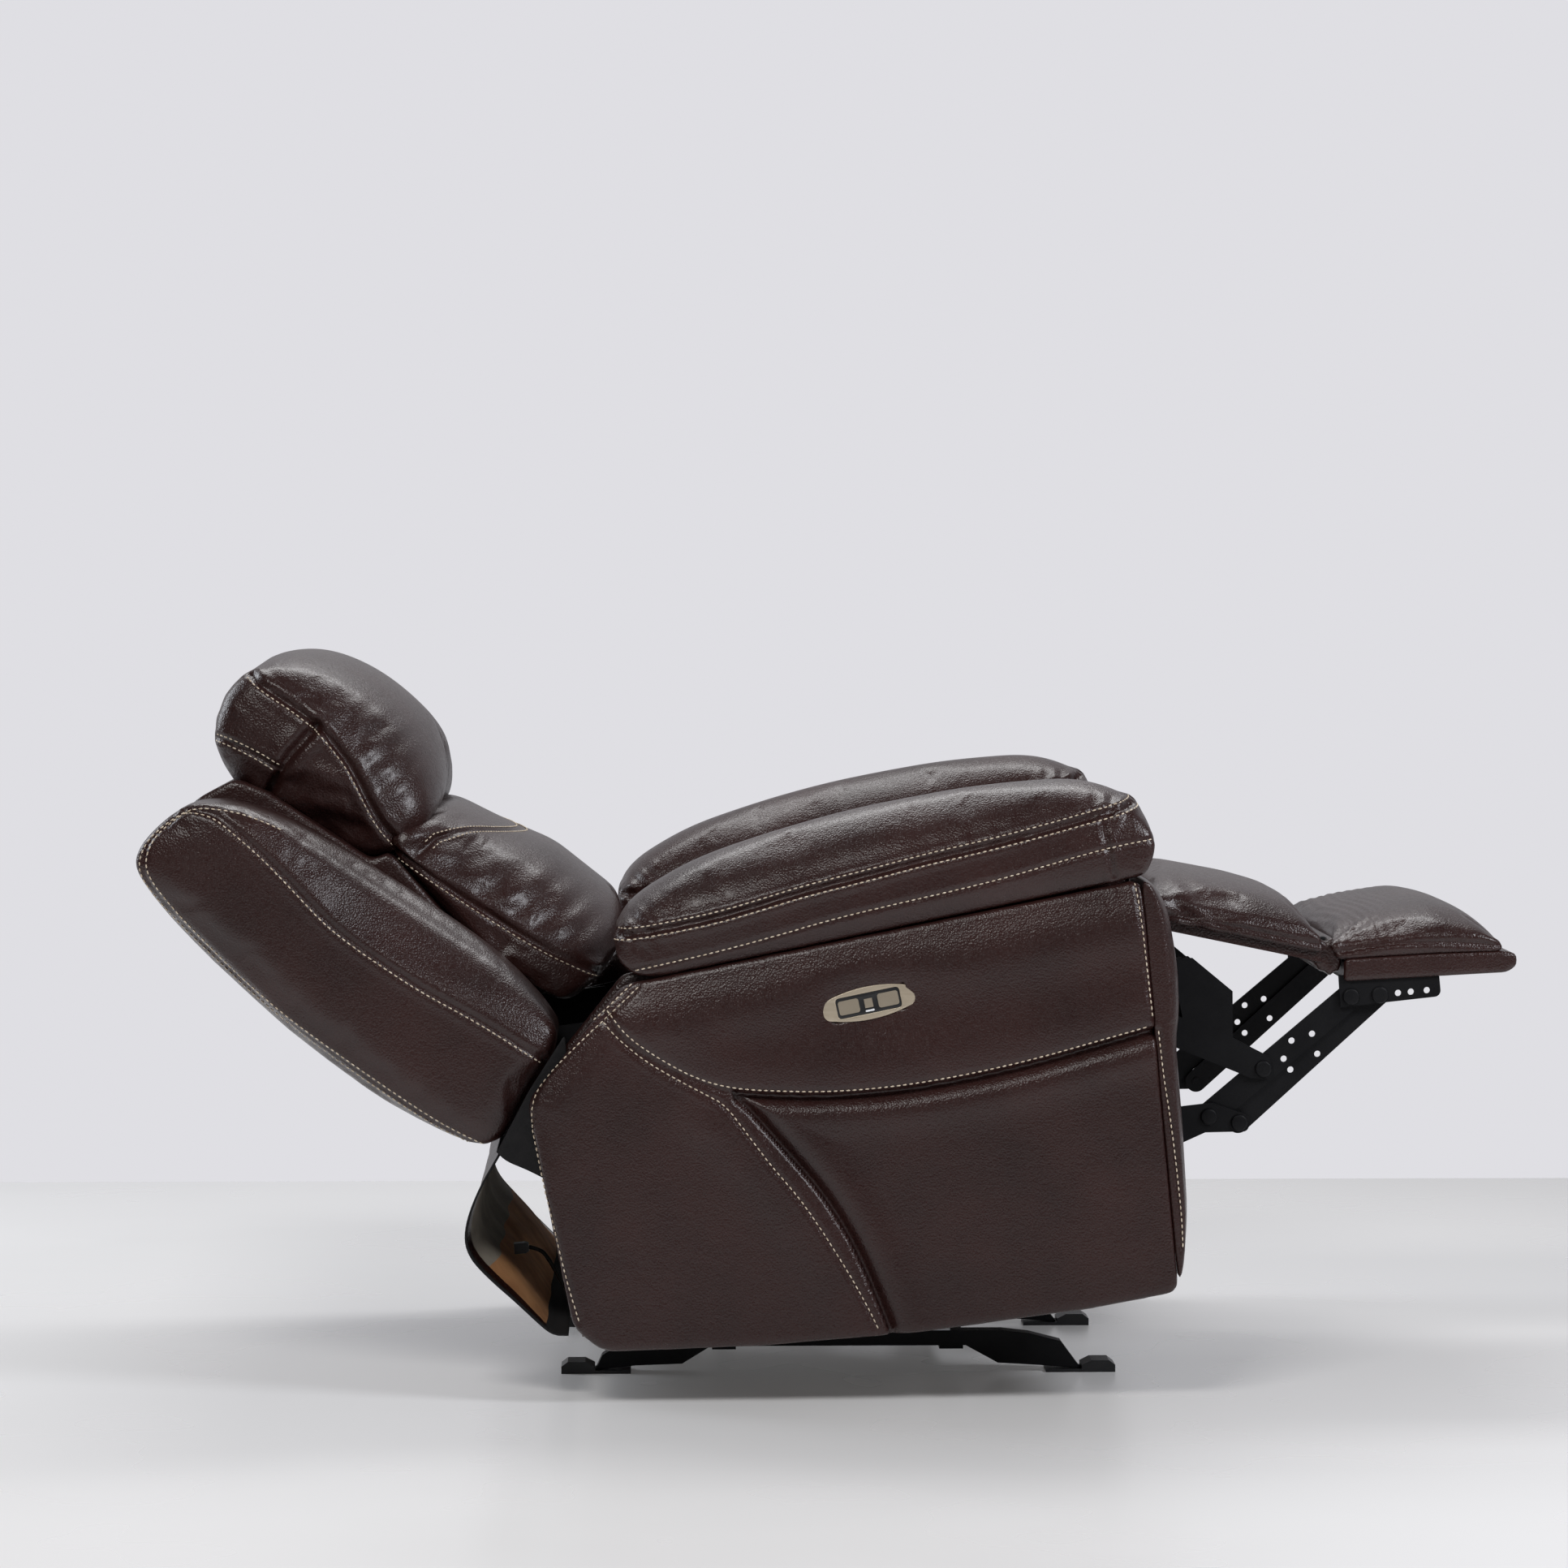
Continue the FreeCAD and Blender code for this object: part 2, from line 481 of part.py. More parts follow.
def make_footrest():
    rear_pivot = point("-rear_pivot_in", "rear_pivot_up")
    drive_pivot = point("-drive_pivot_in", "drive_pivot_up")
    elbow = point("elbow_out", "elbow_up")
    guide = point("guide_out", "guide_up")
    cross = point("cross_out", "cross_up")
    toe = point("toe_out", "toe_up")
    toe_front = (toe[0] + size("toe_spread"), toe[1] - 1)
    bore = "pin_radius + pin_play"
    loose = "pin_radius + 2.6"

    # rear links: cranked plates from the side plates down to the long links
    near = "front_face"
    rear_plate = plate("rear_link_plate", [
        (f"{near} - rear_pivot_in - 16", "rear_pivot_up - 8"), (f"{near} - rear_pivot_in - 10", "rear_pivot_up + 14"),
        (f"{near} - rear_pivot_in + 10", "rear_pivot_up + 14"), (f"{near} - rear_pivot_in + 17", "rear_pivot_up - 4"),
        (f"{near} - 62", "elbow_up + 22"), (f"{near} + 38", "elbow_up + 16"),
        (f"{near} + elbow_out + 6", "elbow_up + 17"), (f"{near} + guide_out + 13", "guide_up + 8"),
        (f"{near} + guide_out + 11", "guide_up - 12"), (f"{near} + elbow_out - 6", "elbow_up - 19"),
        (f"{near} - 10", "elbow_up - 46"), (f"{near} - 60", "elbow_up - 32")],
        "-link_plane", "-link_plane + plate_gauge",
        holes=[(f"{near} - rear_pivot_in", "rear_pivot_up", bore)],
        rounds=[(1, "8"), (2, "8"), (7, "7"), (8, "7")])
    pins = [rod("elbow_pin", elbow[0], elbow[1], "pin_radius", "-link_plane + plate_gauge",
                "-link_plane + layer_pitch + plate_gauge + 1.4"),
            rod("guide_pin", guide[0], guide[1], "pin_radius", "-link_plane + plate_gauge",
                "-link_plane + 2*layer_pitch + plate_gauge + 1.4")]
    pair("rear_links", fused("rear_link", [rear_plate, *pins]))

    # drive links, joined by the cross tube that the drive unit pushes
    drive_plate = plate("drive_link_plate", [
        (f"{near} - drive_pivot_in - 12", "drive_pivot_up - 12"), (f"{near} - drive_pivot_in - 12", "drive_pivot_up + 14"),
        (f"{near} - drive_pivot_in + 14", "drive_pivot_up + 14"), (f"{near} + 54", "cross_up + 73"),
        (f"{near} + 45", "cross_up + 146"), (f"{near} + 73", "cross_up + 146"), (f"{near} + 119", "cross_up + 100"),
        (f"{near} + 114", "cross_up + 42"), (f"{near} + cross_out + 10", "cross_up + 14"),
        (f"{near} + cross_out + 12", "cross_up - 14"), (f"{near} + cross_out - 16", "cross_up - 10")],
        "-link_plane", "-link_plane + plate_gauge",
        holes=[(f"{near} - drive_pivot_in", "drive_pivot_up", bore), (f"{near} + cross_out", "cross_up", loose)],
        rounds=[(1, "8"), (8, "8"), (9, "8")])
    pair("drive_links", drive_plate)
    tube_x, tube_z = f"{near} + 68", "cross_up + 106"
    bar = rod("cross_tube_bar", tube_x, tube_z, "tube_radius",
              "-link_plane + plate_gauge", "link_plane - plate_gauge")
    bracket = plate("tube_bracket", [
        (f"{near} + 46", "cross_up + 74"), (f"{near} + 46", "cross_up + 145"), (f"{near} + 72", "cross_up + 145"),
        (f"{near} + 108", "cross_up + 104"), (f"{near} + 102", "cross_up + 62")],
        "-link_plane + plate_gauge + 2*layer_pitch + 4", "-link_plane + plate_gauge + 2*layer_pitch + 34")
    keep("cross_tube", fused("cross_tube_solid", [bar, bracket, mirrored(bracket, "tube_bracket_twin")]))

    # long links and guide links, each in its own layer
    long_plate = link("long_link_plate", elbow, toe, "long_half", "link_plane - layer_pitch", holes=[
        ("0", "0", bore), ("118", "-6", "4"), ("140", "5", "4"), ("165", "-5", "4")])
    cross_pin = rod("cross_pin", cross[0], cross[1], "pin_radius", "-link_plane + 0.6", "-link_plane + layer_pitch")
    toe_pin = rod("toe_pin", toe[0], toe[1], "pin_radius", "-link_plane + 0.6", "-link_plane + layer_pitch")
    pair("long_links", fused("long_link", [long_plate, cross_pin, toe_pin]))

    guide_plate = link("guide_link_plate", guide, toe_front, "guide_half", "link_plane - 2*layer_pitch",
                               holes=[("0", "0", bore), ("92", "4", "4"), ("130", "-4", "4")])
    front_pin = rod("front_pin", toe_front[0], toe_front[1], "pin_radius", "-link_plane + 0.6",
                    "-link_plane + 2*layer_pitch")
    pair("guide_links", fused("guide_link", [guide_plate, front_pin]))

    # calf pad between seat and footrest
    hinge_x, hinge_z = f"{near} + calf_pivot_out", "calf_pivot_up"
    crease_x, crease_z = f"{near} + crease_out", "crease_up"
    calf_board = plate("calf_board_flat", [
        (f"{hinge_x} + 30", f"{hinge_z} - 10"), (f"{crease_x} - 6", f"{crease_z} - 19"),
        (f"{crease_x} - 6", f"{crease_z} - 7"), (f"{hinge_x} + 30", f"{hinge_z} + 3")],
        "-foot_width_half + 14", "foot_width_half - 14")
    leaves = []
    for number, y in enumerate(("-188", "12", "168")):
        leaves.append(plate(f"calf_leaf_{number}", [
            (f"{hinge_x} - 7", f"{hinge_z} - 7"), (f"{hinge_x} + 31", f"{hinge_z} - 10"),
            (f"{hinge_x} + 31", f"{hinge_z} + 2"), (f"{hinge_x} - 7", f"{hinge_z} + 7")],
            y, f"{y} + 20", holes=[(hinge_x, hinge_z, "pin_radius - 1 + pin_play")]))
    for number, y in enumerate(("-240", "-40", "220")):
        leaves.append(rod(f"crease_knuckle_{number}", crease_x, crease_z, "6", y, f"{y} + 20"))
        leaves.append(plate(f"crease_leaf_{number}", [
            (f"{crease_x} - 10", f"{crease_z} - 17"), (f"{crease_x} - 3", f"{crease_z} - 5"),
            (f"{crease_x} - 3", f"{crease_z} + 3"), (f"{crease_x} - 8", f"{crease_z} - 7")], y, f"{y} + 20"))
    crease_pin = rod("crease_pin", crease_x, crease_z, "pin_radius - 2", "-244", "244")
    keep("calf_board", fused("calf_board_solid", [calf_board, *leaves, crease_pin]))
    keep("calf_pad", plate("calf_pad_solid", [
        (f"{near} + 40", "calf_pivot_up + 10"), (f"{near} + 26", "calf_pivot_up + 40"),
        (f"{near} + 27", "seat_front_top - 4"), (f"{near} + 60", "seat_front_top - 6"),
        (f"{crease_x} - 30", "crease_up + 58"), (f"{crease_x} - 9", "crease_up + 34"),
        (f"{crease_x} - 9", "crease_up - 6"), (f"{hinge_x} + 32", f"{hinge_z} + 4")],
        "-foot_width_half", "foot_width_half", rounds=[(2, "12"), (5, "18")]))

    # footrest proper
    tip_x = f"{crease_x} + foot_length"
    board = plate("footrest_board_flat", [
        (f"{crease_x} + 13", "crease_up - 37"), (f"{tip_x} + 2", "crease_up - 48"),
        (f"{tip_x} + 2", "crease_up - 48 + board_wall"), (f"{crease_x} + 13", "crease_up - 37 + board_wall")],
        "-foot_width_half + 4", "foot_width_half - 4")
    eyes = []
    for number, y in enumerate(("-219", "-19", "199")):
        eyes.append(plate(f"footrest_eye_{number}", [
            (f"{crease_x} - 5", f"{crease_z} - 5"), (f"{crease_x} + 5", f"{crease_z} - 5"),
            (f"{crease_x} + 14", "crease_up - 36"), (f"{crease_x} + 22", "crease_up - 18"),
            (f"{crease_x} + 6", f"{crease_z} + 5.5"), (f"{crease_x} - 5", f"{crease_z} + 5.5")],
            y, f"{y} + 18", holes=[(crease_x, crease_z, "pin_radius - 2 + pin_play")]))
    keep("footrest_board", fused("footrest_board_solid", [board, *eyes]))
    keep("footrest_pad", plate("footrest_pad_solid", [
        (f"{crease_x} + 27", "crease_up - 17.4"), (f"{crease_x} + 12", "crease_up + 8"),
        (f"{crease_x} + 11", "crease_up + 24"), (f"{crease_x} + 54", "crease_up + 37"),
        (f"{crease_x} + 140", "crease_up + 46"), (f"{crease_x} + 194", "crease_up + 26"),
        (f"{tip_x}", "crease_up - 4"), (f"{tip_x}", "crease_up - 27.4")],
        "-foot_width_half", "foot_width_half", rounds=[(2, "10"), (4, "60"), (6, "12")]))
    pair("footrest_brackets", plate("footrest_bracket", [
        (f"{near} + toe_out - 14", "toe_up - 12"), (f"{near} + toe_out + 112", "toe_up - 10"),
        (f"{near} + toe_out + 112", "crease_up - 43.7"), (f"{near} + toe_out - 13", "crease_up - 37.1")],
        "-link_plane", "-link_plane + plate_gauge",
        holes=[(f"{near} + toe_out", "toe_up", loose), (f"{near} + toe_out + toe_spread", "toe_up - 1", loose),
               *[(f"{near} + toe_out + {out}", "toe_up - 1", "4") for out in (59, 75, 95)]],
        rounds=[(1, "8")]))


# ---------------------------------------------------------------- drive and switch

def make_drive():
    motor = plate("motor_body", [
        ("-158", "205"), ("-158", "285"), ("-60", "285"), ("-60", "205")], "-34", "46", rounds=[(0, "10"), (1, "10")])
    keep("drive_motor", motor)
    span = "link_plane + layer_pitch - plate_gauge"
    keep("motor_cross_bar", rod("motor_bar", "-166", "240", "7.5", f"-({span})", span))
    keep("drive_rail", box("rail_bar", "-60", "-14", "238", "375", "40", "14"))
    block = box("block_body", "262", "-22", "252.3", "46", "56", "26")
    keep("drive_block", block)


def make_switch():
    """Drawn along the local X axis at the middle of the plate, then tipped with the seat line."""
    outside = "-body_width/2"
    here = SEAT * FreeCAD.Placement(
        FreeCAD.Vector(size("switch_x"), 0, size("switch_up")),
        FreeCAD.Rotation(FreeCAD.Vector(0, 1, 0), -size("switch_slope")))
    half, high = "switch_length/2", "switch_height/2"
    big = "button_length/2 + clear_gap"
    tall = "button_height/2 + clear_gap"
    centres = ("-button_spacing", "button_spacing")
    well_floor = f"{outside} + button_depth + 2*button_travel"

    def well(centre, wide, high_side):
        return [(f"{centre} - ({wide})", f"-({high_side})"), (f"{centre} + {wide}", f"-({high_side})"),
                (f"{centre} + {wide}", high_side), (f"{centre} - ({wide})", high_side)]

    openings = [well(centre, big, tall) for centre in centres]
    openings.append(well("0", "memory_half + clear_gap", "memory_high + clear_gap"))
    octagon = [(f"-({half})", "-9"), (f"-({half}) + 22", f"-({high})"), (f"{half} - 22", f"-({high})"), (half, "-9"),
               (half, "9"), (f"{half} - 22", high), (f"-({half}) + 22", high), (f"-({half})", "9")]
    keep("switch_plate", plate("switch_plate_solid", octagon, f"{outside} - 3", outside, windows=openings,
                               rounds=[(k, "12") for k in (1, 2, 5, 6)], place=here))
    insert = well("0", "insert_half", "insert_high")
    shell = plate("switch_shell", insert, outside, well_floor, windows=openings, place=here)
    floor = plate("switch_floor", insert, well_floor, f"{well_floor} + 4", place=here)
    keep("switch_housing", fused("switch_housing_solid", [shell, floor]))
    for name, centre in zip(("button_recline", "button_upright"), centres):
        keep(name, plate(name + "_cap", [
            (f"{centre} - button_length/2", "-button_height/2"), (f"{centre} + button_length/2", "-button_height/2"),
            (f"{centre} + button_length/2", "button_height/2"), (f"{centre} - button_length/2", "button_height/2")],
            f"{outside} - 2.6", f"{outside} + button_depth", rounds=[(k, "3") for k in range(4)], place=here))
    keep("button_memory", plate("button_memory_cap", [
        ("-memory_half", "-memory_high"), ("memory_half", "-memory_high"),
        ("memory_half", "memory_high"), ("-memory_half", "memory_high")],
        f"{outside} - 2.4", f"{outside} + button_depth", place=here))


# ---------------------------------------------------------------- low-voltage lead

def tube_along(points, radius):
    """Straight runs joined by tangent arcs; prints each arc's radius."""
    stops = [FreeCAD.Vector(*p) for p in points]
    edges = []
    begin = stops[0]
    for before, here, after in zip(stops, stops[1:], stops[2:]):
        back = before - here
        ahead = after - here
        cut_back = 0.45 * min(back.Length, ahead.Length)
        back.normalize()
        ahead.normalize()
        half_turn = (math.pi - back.getAngle(ahead)) / 2
        bend = cut_back / math.tan(half_turn)
        first = here + back * cut_back
        last = here + ahead * cut_back
        middle_line = back + ahead
        middle_line.normalize()
        top = here + middle_line * (bend / math.cos(half_turn) - bend)
        edges += [Part.LineSegment(begin, first).toShape(), Part.Arc(first, top, last).toShape()]
        begin = last
        print(f"lead arc radius {bend:.1f} mm")
    edges.append(Part.LineSegment(begin, stops[-1]).toShape())
    path = Part.Wire(edges)
    ring = Part.Wire(Part.Circle(stops[0], stops[1] - stops[0], radius).toShape())
    tube = path.makePipeShell([ring], True, False)
    print(f"lead length {path.Length:.1f} mm, volume ratio "
          f"{tube.Volume / (path.Length * math.pi * radius ** 2):.4f}")
    return tube


# The lead leaves its gland above the rear base rail and lies up against the flap.
LEAD_ROUTE = [
    (-280, -246, 125), (-297, -247, 124.5), (-314, -249, 126), (-328, -250, 134), (-338, -250, 148),
    (-345, -251, 166), (-352.5, -251, 182), (-361, -250, 194), (-375, -250, 198)]


def make_lead():
    x, y, z = LEAD_ROUTE[0]
    box_y = f"{y} - 28"
    control = plate("control_box_solid", [
        ("rear_face + 33", "skirt_under"), ("rear_face + 33", "skirt_under + 10"), (f"{x + 16}", "skirt_under + 10"),
        (f"{x + 16}", "skirt_under + 56"), (f"{x + 80}", "skirt_under + 56"), (f"{x + 80}", "skirt_under")],
        box_y, f"{y} + 22")
    keep("control_box", control)
    gland = doc.addObject("Part::Cone", "gland")
    bind(gland, Radius1="7", Radius2="lead_diameter/2 + 1", Height="16")
    gland.Placement = SEAT * FreeCAD.Placement(
        FreeCAD.Vector(x + 16, y, z), FreeCAD.Rotation(FreeCAD.Vector(0, 1, 0), -90))
    keep("lead_gland", gland)

    lead = doc.addObject("Part::Feature", "lead")
    lead.Shape = tube_along(LEAD_ROUTE, size("lead_diameter") / 2)
    lead.Placement = SEAT
    keep("power_lead", lead)

    x, y, z = LEAD_ROUTE[-1]
    plug = plate("plug_body", [
        (f"{x}", f"{z} - 4.5"), (f"{x}", f"{z} + 4.5"), (f"{x} - 4", f"{z} + 6.5"), (f"{x} - 18", f"{z} + 6.5"),
        (f"{x} - 18", f"{z} - 6.5"), (f"{x} - 4", f"{z} - 6.5")], f"{y} - 9", f"{y} + 9")
    keep("lead_connector", plug)


make_base()
make_seat_frame()
make_arms()
make_seat_cushion()
make_back()
make_footrest()
make_drive()
make_switch()
make_lead()
doc.recompute()

for item in doc.Objects:
    if "Invalid" in item.State or "Error" in item.State:
        raise RuntimeError(f"{item.Name} failed: {item.State}")
for name, item in nodes.items():
    if item.Shape.isNull() or not item.Shape.isValid() or not item.Shape.Solids:
        raise RuntimeError(f"{name} has no valid solid")

os.makedirs("parts", exist_ok=True)
for name, item in nodes.items():
    item.Shape.exportStep(f"parts/{name}.step")
print(f"{len(nodes)} nodes written")
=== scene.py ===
# %% [markdown]
# # A power recliner, piece by piece
# The chair is shown leaning back with its footrest out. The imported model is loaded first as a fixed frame:
# it gives the places, the joints and the hard parts. Everything soft is then made here, over that frame.

# %% Load the frame
import json
import math
import bpy
import numpy as np
from mathutils import Matrix, Vector
from mathutils.bvhtree import BVHTree
from mathutils.kdtree import KDTree


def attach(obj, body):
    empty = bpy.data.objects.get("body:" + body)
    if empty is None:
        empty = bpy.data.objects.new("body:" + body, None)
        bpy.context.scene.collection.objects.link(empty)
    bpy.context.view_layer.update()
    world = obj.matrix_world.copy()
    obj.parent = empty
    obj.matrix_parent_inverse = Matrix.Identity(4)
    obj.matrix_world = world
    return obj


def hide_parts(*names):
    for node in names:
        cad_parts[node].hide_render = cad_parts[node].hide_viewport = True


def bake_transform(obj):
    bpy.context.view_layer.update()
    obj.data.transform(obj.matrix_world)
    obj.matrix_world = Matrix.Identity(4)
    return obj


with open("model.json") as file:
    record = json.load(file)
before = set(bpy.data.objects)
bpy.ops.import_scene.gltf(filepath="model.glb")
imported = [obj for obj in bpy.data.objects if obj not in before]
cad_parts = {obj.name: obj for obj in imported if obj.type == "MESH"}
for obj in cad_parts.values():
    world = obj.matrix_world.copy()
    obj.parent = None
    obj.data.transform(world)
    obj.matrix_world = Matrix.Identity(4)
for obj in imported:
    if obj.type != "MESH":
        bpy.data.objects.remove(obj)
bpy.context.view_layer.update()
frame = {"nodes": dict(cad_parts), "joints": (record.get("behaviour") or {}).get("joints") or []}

joints = {joint["name"]: joint for joint in frame["joints"]}

# %% [markdown]
# The chair is drawn in two squares of its own. The seat square is the seat as it stands when nobody rocks it,
# and the back square is the back when it is upright. Upholsterers cut the covers in these squares, so the
# outlines and seams below are given in them, in millimetres, and two matrices carry each finished piece to
# where it is at rest: the seat rolled a little back on its rockers, the back laid down on its hinges.

# %% The seat square and the back square
REST_TILT = math.radians(5.4)
RECLINE = math.radians(joints["back_recline"]["range_deg"][1])
ROCKER = Vector(joints["body_rock"]["pos_m"])


def lean(angle):
    """a turn backwards, about a line across the chair"""
    return Matrix.Rotation(-angle, 4, "Y")


SEAT = Matrix.Translation(ROCKER) @ lean(REST_TILT) @ Matrix.Translation((0, 0, -ROCKER.z))
BACK_PIVOT = SEAT.inverted() @ Vector(joints["back_recline"]["pos_m"])
BACK = SEAT @ Matrix.Translation(BACK_PIVOT) @ lean(RECLINE) @ Matrix.Translation(-BACK_PIVOT)
print("back pivot in the seat square", [round(v, 4) for v in BACK_PIVOT])

# %% [markdown]
# ## The camera
# The chair is seen from its right side, from seven metres away and about a metre up, which is a little
# higher than its top. With a long lens from so far, nearly nothing leans or shrinks. The camera is aimed by
# two small turns from looking straight across.

# %% The camera
CAMERA_PLACE = (-0.223, -7.09, 1.023)
LOOK_DOWN, LOOK_FORWARD = math.radians(2.378), math.radians(1.40)
FOCAL_LENGTH, SENSOR_WIDTH, FARTHEST = 126.5, 36, 60
bpy.ops.object.select_all(action="DESELECT")
bpy.ops.object.camera_add(location=CAMERA_PLACE, rotation=(math.pi / 2 - LOOK_DOWN, 0, -LOOK_FORWARD))
camera = bpy.context.object
camera.name = "camera"
camera.data.lens, camera.data.sensor_width, camera.data.clip_end = FOCAL_LENGTH, SENSOR_WIDTH, FARTHEST
bpy.context.scene.camera = camera
print("camera at", CAMERA_PLACE, "lens", camera.data.lens)

# %% [markdown]
# ## Small tools
# A piece is picked alone before an operator works on it, because an operator acts on all that is selected.
# Points are read and written in one go with numpy, which is quick enough for a cushion of a hundred
# thousand points.

# %% Picking a piece, reading its points
def pick(piece):
    bpy.ops.object.select_all(action="DESELECT")
    piece.select_set(True)
    bpy.context.view_layer.objects.active = piece
    return piece


def points_of(piece):
    points = np.empty(len(piece.data.vertices) * 3)
    piece.data.vertices.foreach_get("co", points)
    return points.reshape(-1, 3)


def normals_of(piece):
    normals = np.empty(len(piece.data.vertices) * 3)
    piece.data.vertices.foreach_get("normal", normals)
    return normals.reshape(-1, 3)


def put_points(piece, points):
    piece.data.vertices.foreach_set("co", np.asarray(points, float).ravel())
    piece.data.update()


def raise_skin(piece, heights):
    """moves each point out along its normal by its own height"""
    put_points(piece, points_of(piece) + normals_of(piece) * heights[:, None])


def finish_modifier(piece, kind, **settings):
    """adds a modifier, sets it and applies it"""
    pick(piece)
    modifier = piece.modifiers.new(kind.lower(), kind)
    for name, value in settings.items():
        setattr(modifier, name, value)
    bpy.ops.object.modifier_apply(modifier=modifier.name)


# %% [markdown]
# An outline is a list of corners in a square. A cover never turns a sharp corner, so each corner is cut back
# and rounded with a short curve. A seam is drawn the same way, as a smooth line through a few points.

# %% Outlines and seam lines
def soften(corners, reach, steps=5):
    """rounds each corner of a closed outline, starting reach millimetres before it"""
    rounded = []
    for number, corner in enumerate(corners):
        here = Vector(corner)
        before, after = Vector(corners[number - 1]), Vector(corners[(number + 1) % len(corners)])
        start = here + (before - here) * min(0.46, reach / (before - here).length)
        end = here + (after - here) * min(0.46, reach / (after - here).length)
        for step in range(steps + 1):
            t = step / steps
            rounded.append(start * (1 - t) ** 2 + here * 2 * t * (1 - t) + end * t * t)
    return [(point.x / 1000, point.y / 1000) for point in rounded]


def smooth_line(points, spacing=0.003, millimetres=True):
    """a smooth line through a few points, as evenly spaced points in metres"""
    line = np.array(points, float) * (0.001 if millimetres else 1)
    for _ in range(3):
        cut = np.empty((2 * len(line) - 2, line.shape[1]))
        cut[0::2] = line[:-1] * 0.75 + line[1:] * 0.25
        cut[1::2] = line[:-1] * 0.25 + line[1:] * 0.75
        line = np.vstack([line[:1], cut, line[-1:]])
    steps = np.linalg.norm(np.diff(line, axis=0), axis=1)
    along = np.concatenate([[0], np.cumsum(steps)])
    places = np.linspace(0, along[-1], max(2, int(along[-1] / spacing)))
    return np.stack([np.interp(places, along, line[:, k]) for k in range(line.shape[1])], axis=1)


# %% [markdown]
# A stuffed piece starts as a flat shape with the outline's corners. Edit mode extrudes it sideways to its
# width, and a bevel takes the sharpness off its ends.

# %% A block from an outline
def round_edges(piece, width, segments, sharper_than):
    """bevels the edges that turn by more than an angle in degrees"""
    finish_modifier(piece, "BEVEL", width=width, segments=segments, limit_method="ANGLE",
                    angle_limit=math.radians(sharper_than))


def block(name, outline, low_y, high_y, end_bevel):
    """an outline in metres, given its width from low_y to high_y in millimetres"""
    bpy.ops.object.select_all(action="DESELECT")
    bpy.ops.mesh.primitive_circle_add(vertices=len(outline), radius=0.1, fill_type="NGON")
    piece = bpy.context.object
    piece.name = piece.data.name = name
    put_points(piece, [(x, low_y / 1000, z) for x, z in outline])
    bpy.ops.object.mode_set(mode="EDIT")
    bpy.ops.mesh.select_all(action="SELECT")
    bpy.ops.mesh.extrude_region_move(TRANSFORM_OT_translate={"value": (0, (high_y - low_y) / 1000, 0)})
    bpy.ops.mesh.select_all(action="SELECT")
    bpy.ops.mesh.normals_make_consistent(inside=False)
    bpy.ops.object.mode_set(mode="OBJECT")
    if end_bevel:
        round_edges(piece, end_bevel, 3, 50)
    return piece


def remesh(piece, voxel):
    """gives a piece an even skin of small squares"""
    pick(piece)
    piece.data.remesh_voxel_size = voxel
    bpy.ops.object.voxel_remesh()
    print(piece.name, "remeshed to", len(piece.data.vertices), "points")


# %% [markdown]
# Stuffing is simulated as a cloth skin with air pressure inside. The skin swells between its edges and
# wrinkles a little where it has too much cloth, which is what makes leather over foam look real. Parts of
# the skin that are stapled to the frame are held, and no point may move further than a cap.

# %% Filling a piece
SETTLE_FRAMES, CLOTH_QUALITY, LEATHER_STIFFNESS = 20, 4, 12.0


def blow_up(piece, pressure, held):
    """lets the skin settle under air pressure, with its held points pinned"""
    pick(piece)
    cloth = piece.modifiers.new("filling", "CLOTH")
    cloth.settings.use_pressure = True
    cloth.settings.uniform_pressure_force = pressure
    cloth.settings.effector_weights.gravity = 0
    cloth.settings.tension_stiffness = cloth.settings.compression_stiffness = LEATHER_STIFFNESS
    cloth.settings.quality = CLOTH_QUALITY
    cloth.point_cache.frame_start, cloth.point_cache.frame_end = 1, SETTLE_FRAMES
    if held is not None:
        group = piece.vertex_groups.new(name="held")
        group.add([int(index) for index in np.nonzero(held(points_of(piece)))[0]], 1.0, "ADD")
        cloth.settings.vertex_group_mass = "held"
    for number in range(1, SETTLE_FRAMES + 1):
        bpy.context.scene.frame_set(number)
    bpy.ops.object.modifier_apply(modifier=cloth.name)
    bpy.context.scene.frame_set(1)
    piece.vertex_groups.clear()


def swell(piece, cap, pressure=3.0, held=None):
    """fills a piece, and moves no point further than the cap; held(points) tells which are stapled"""
    start = points_of(piece)
    blow_up(piece, pressure, held)
    moved = points_of(piece) - start
    length = np.linalg.norm(moved, axis=1)
    limit = cap * np.tanh(length / cap) / np.maximum(length, 1e-9)
    put_points(piece, start + moved * limit[:, None])
    finish_modifier(piece, "SUBSURF", levels=1, render_levels=1)
    farthest = round(float((length * limit).max()) * 1000, 1)
    print(piece.name, "swelled by", farthest, "mm at most,", len(piece.data.polygons), "faces")

# %% [markdown]
# A seam pulls the leather down into a valley, and the stitches run beside it. To find where a seam lies on
# a swollen surface, each point of the line is shot sideways at the piece, like a chalk line snapped on it.

# %% Seams on the surface
RAY_START, CHALK_STEP = 1.0, 0.003


def surface_of(piece):
    """a piece's faces, ready for rays"""
    corners, faces = [v.co for v in piece.data.vertices], [p.vertices for p in piece.data.polygons]
    return BVHTree.FromPolygons(corners, faces)


def row_of(hits):
    """the places and normals of the rays that struck a piece"""
    struck = [hit for hit in hits if hit[0] is not None]
    return tuple(np.array([tuple(hit[part]) for hit in struck]).reshape(-1, 3) for part in (0, 1))


def chalk(piece, line, side):
    """the line's points carried onto the piece from one side (-1 right, 1 left), with their normals"""
    surface, inwards = surface_of(piece), Vector((0, -side, 0))
    return row_of([surface.ray_cast(Vector((x, side * RAY_START, z)), inwards) for x, z in line])


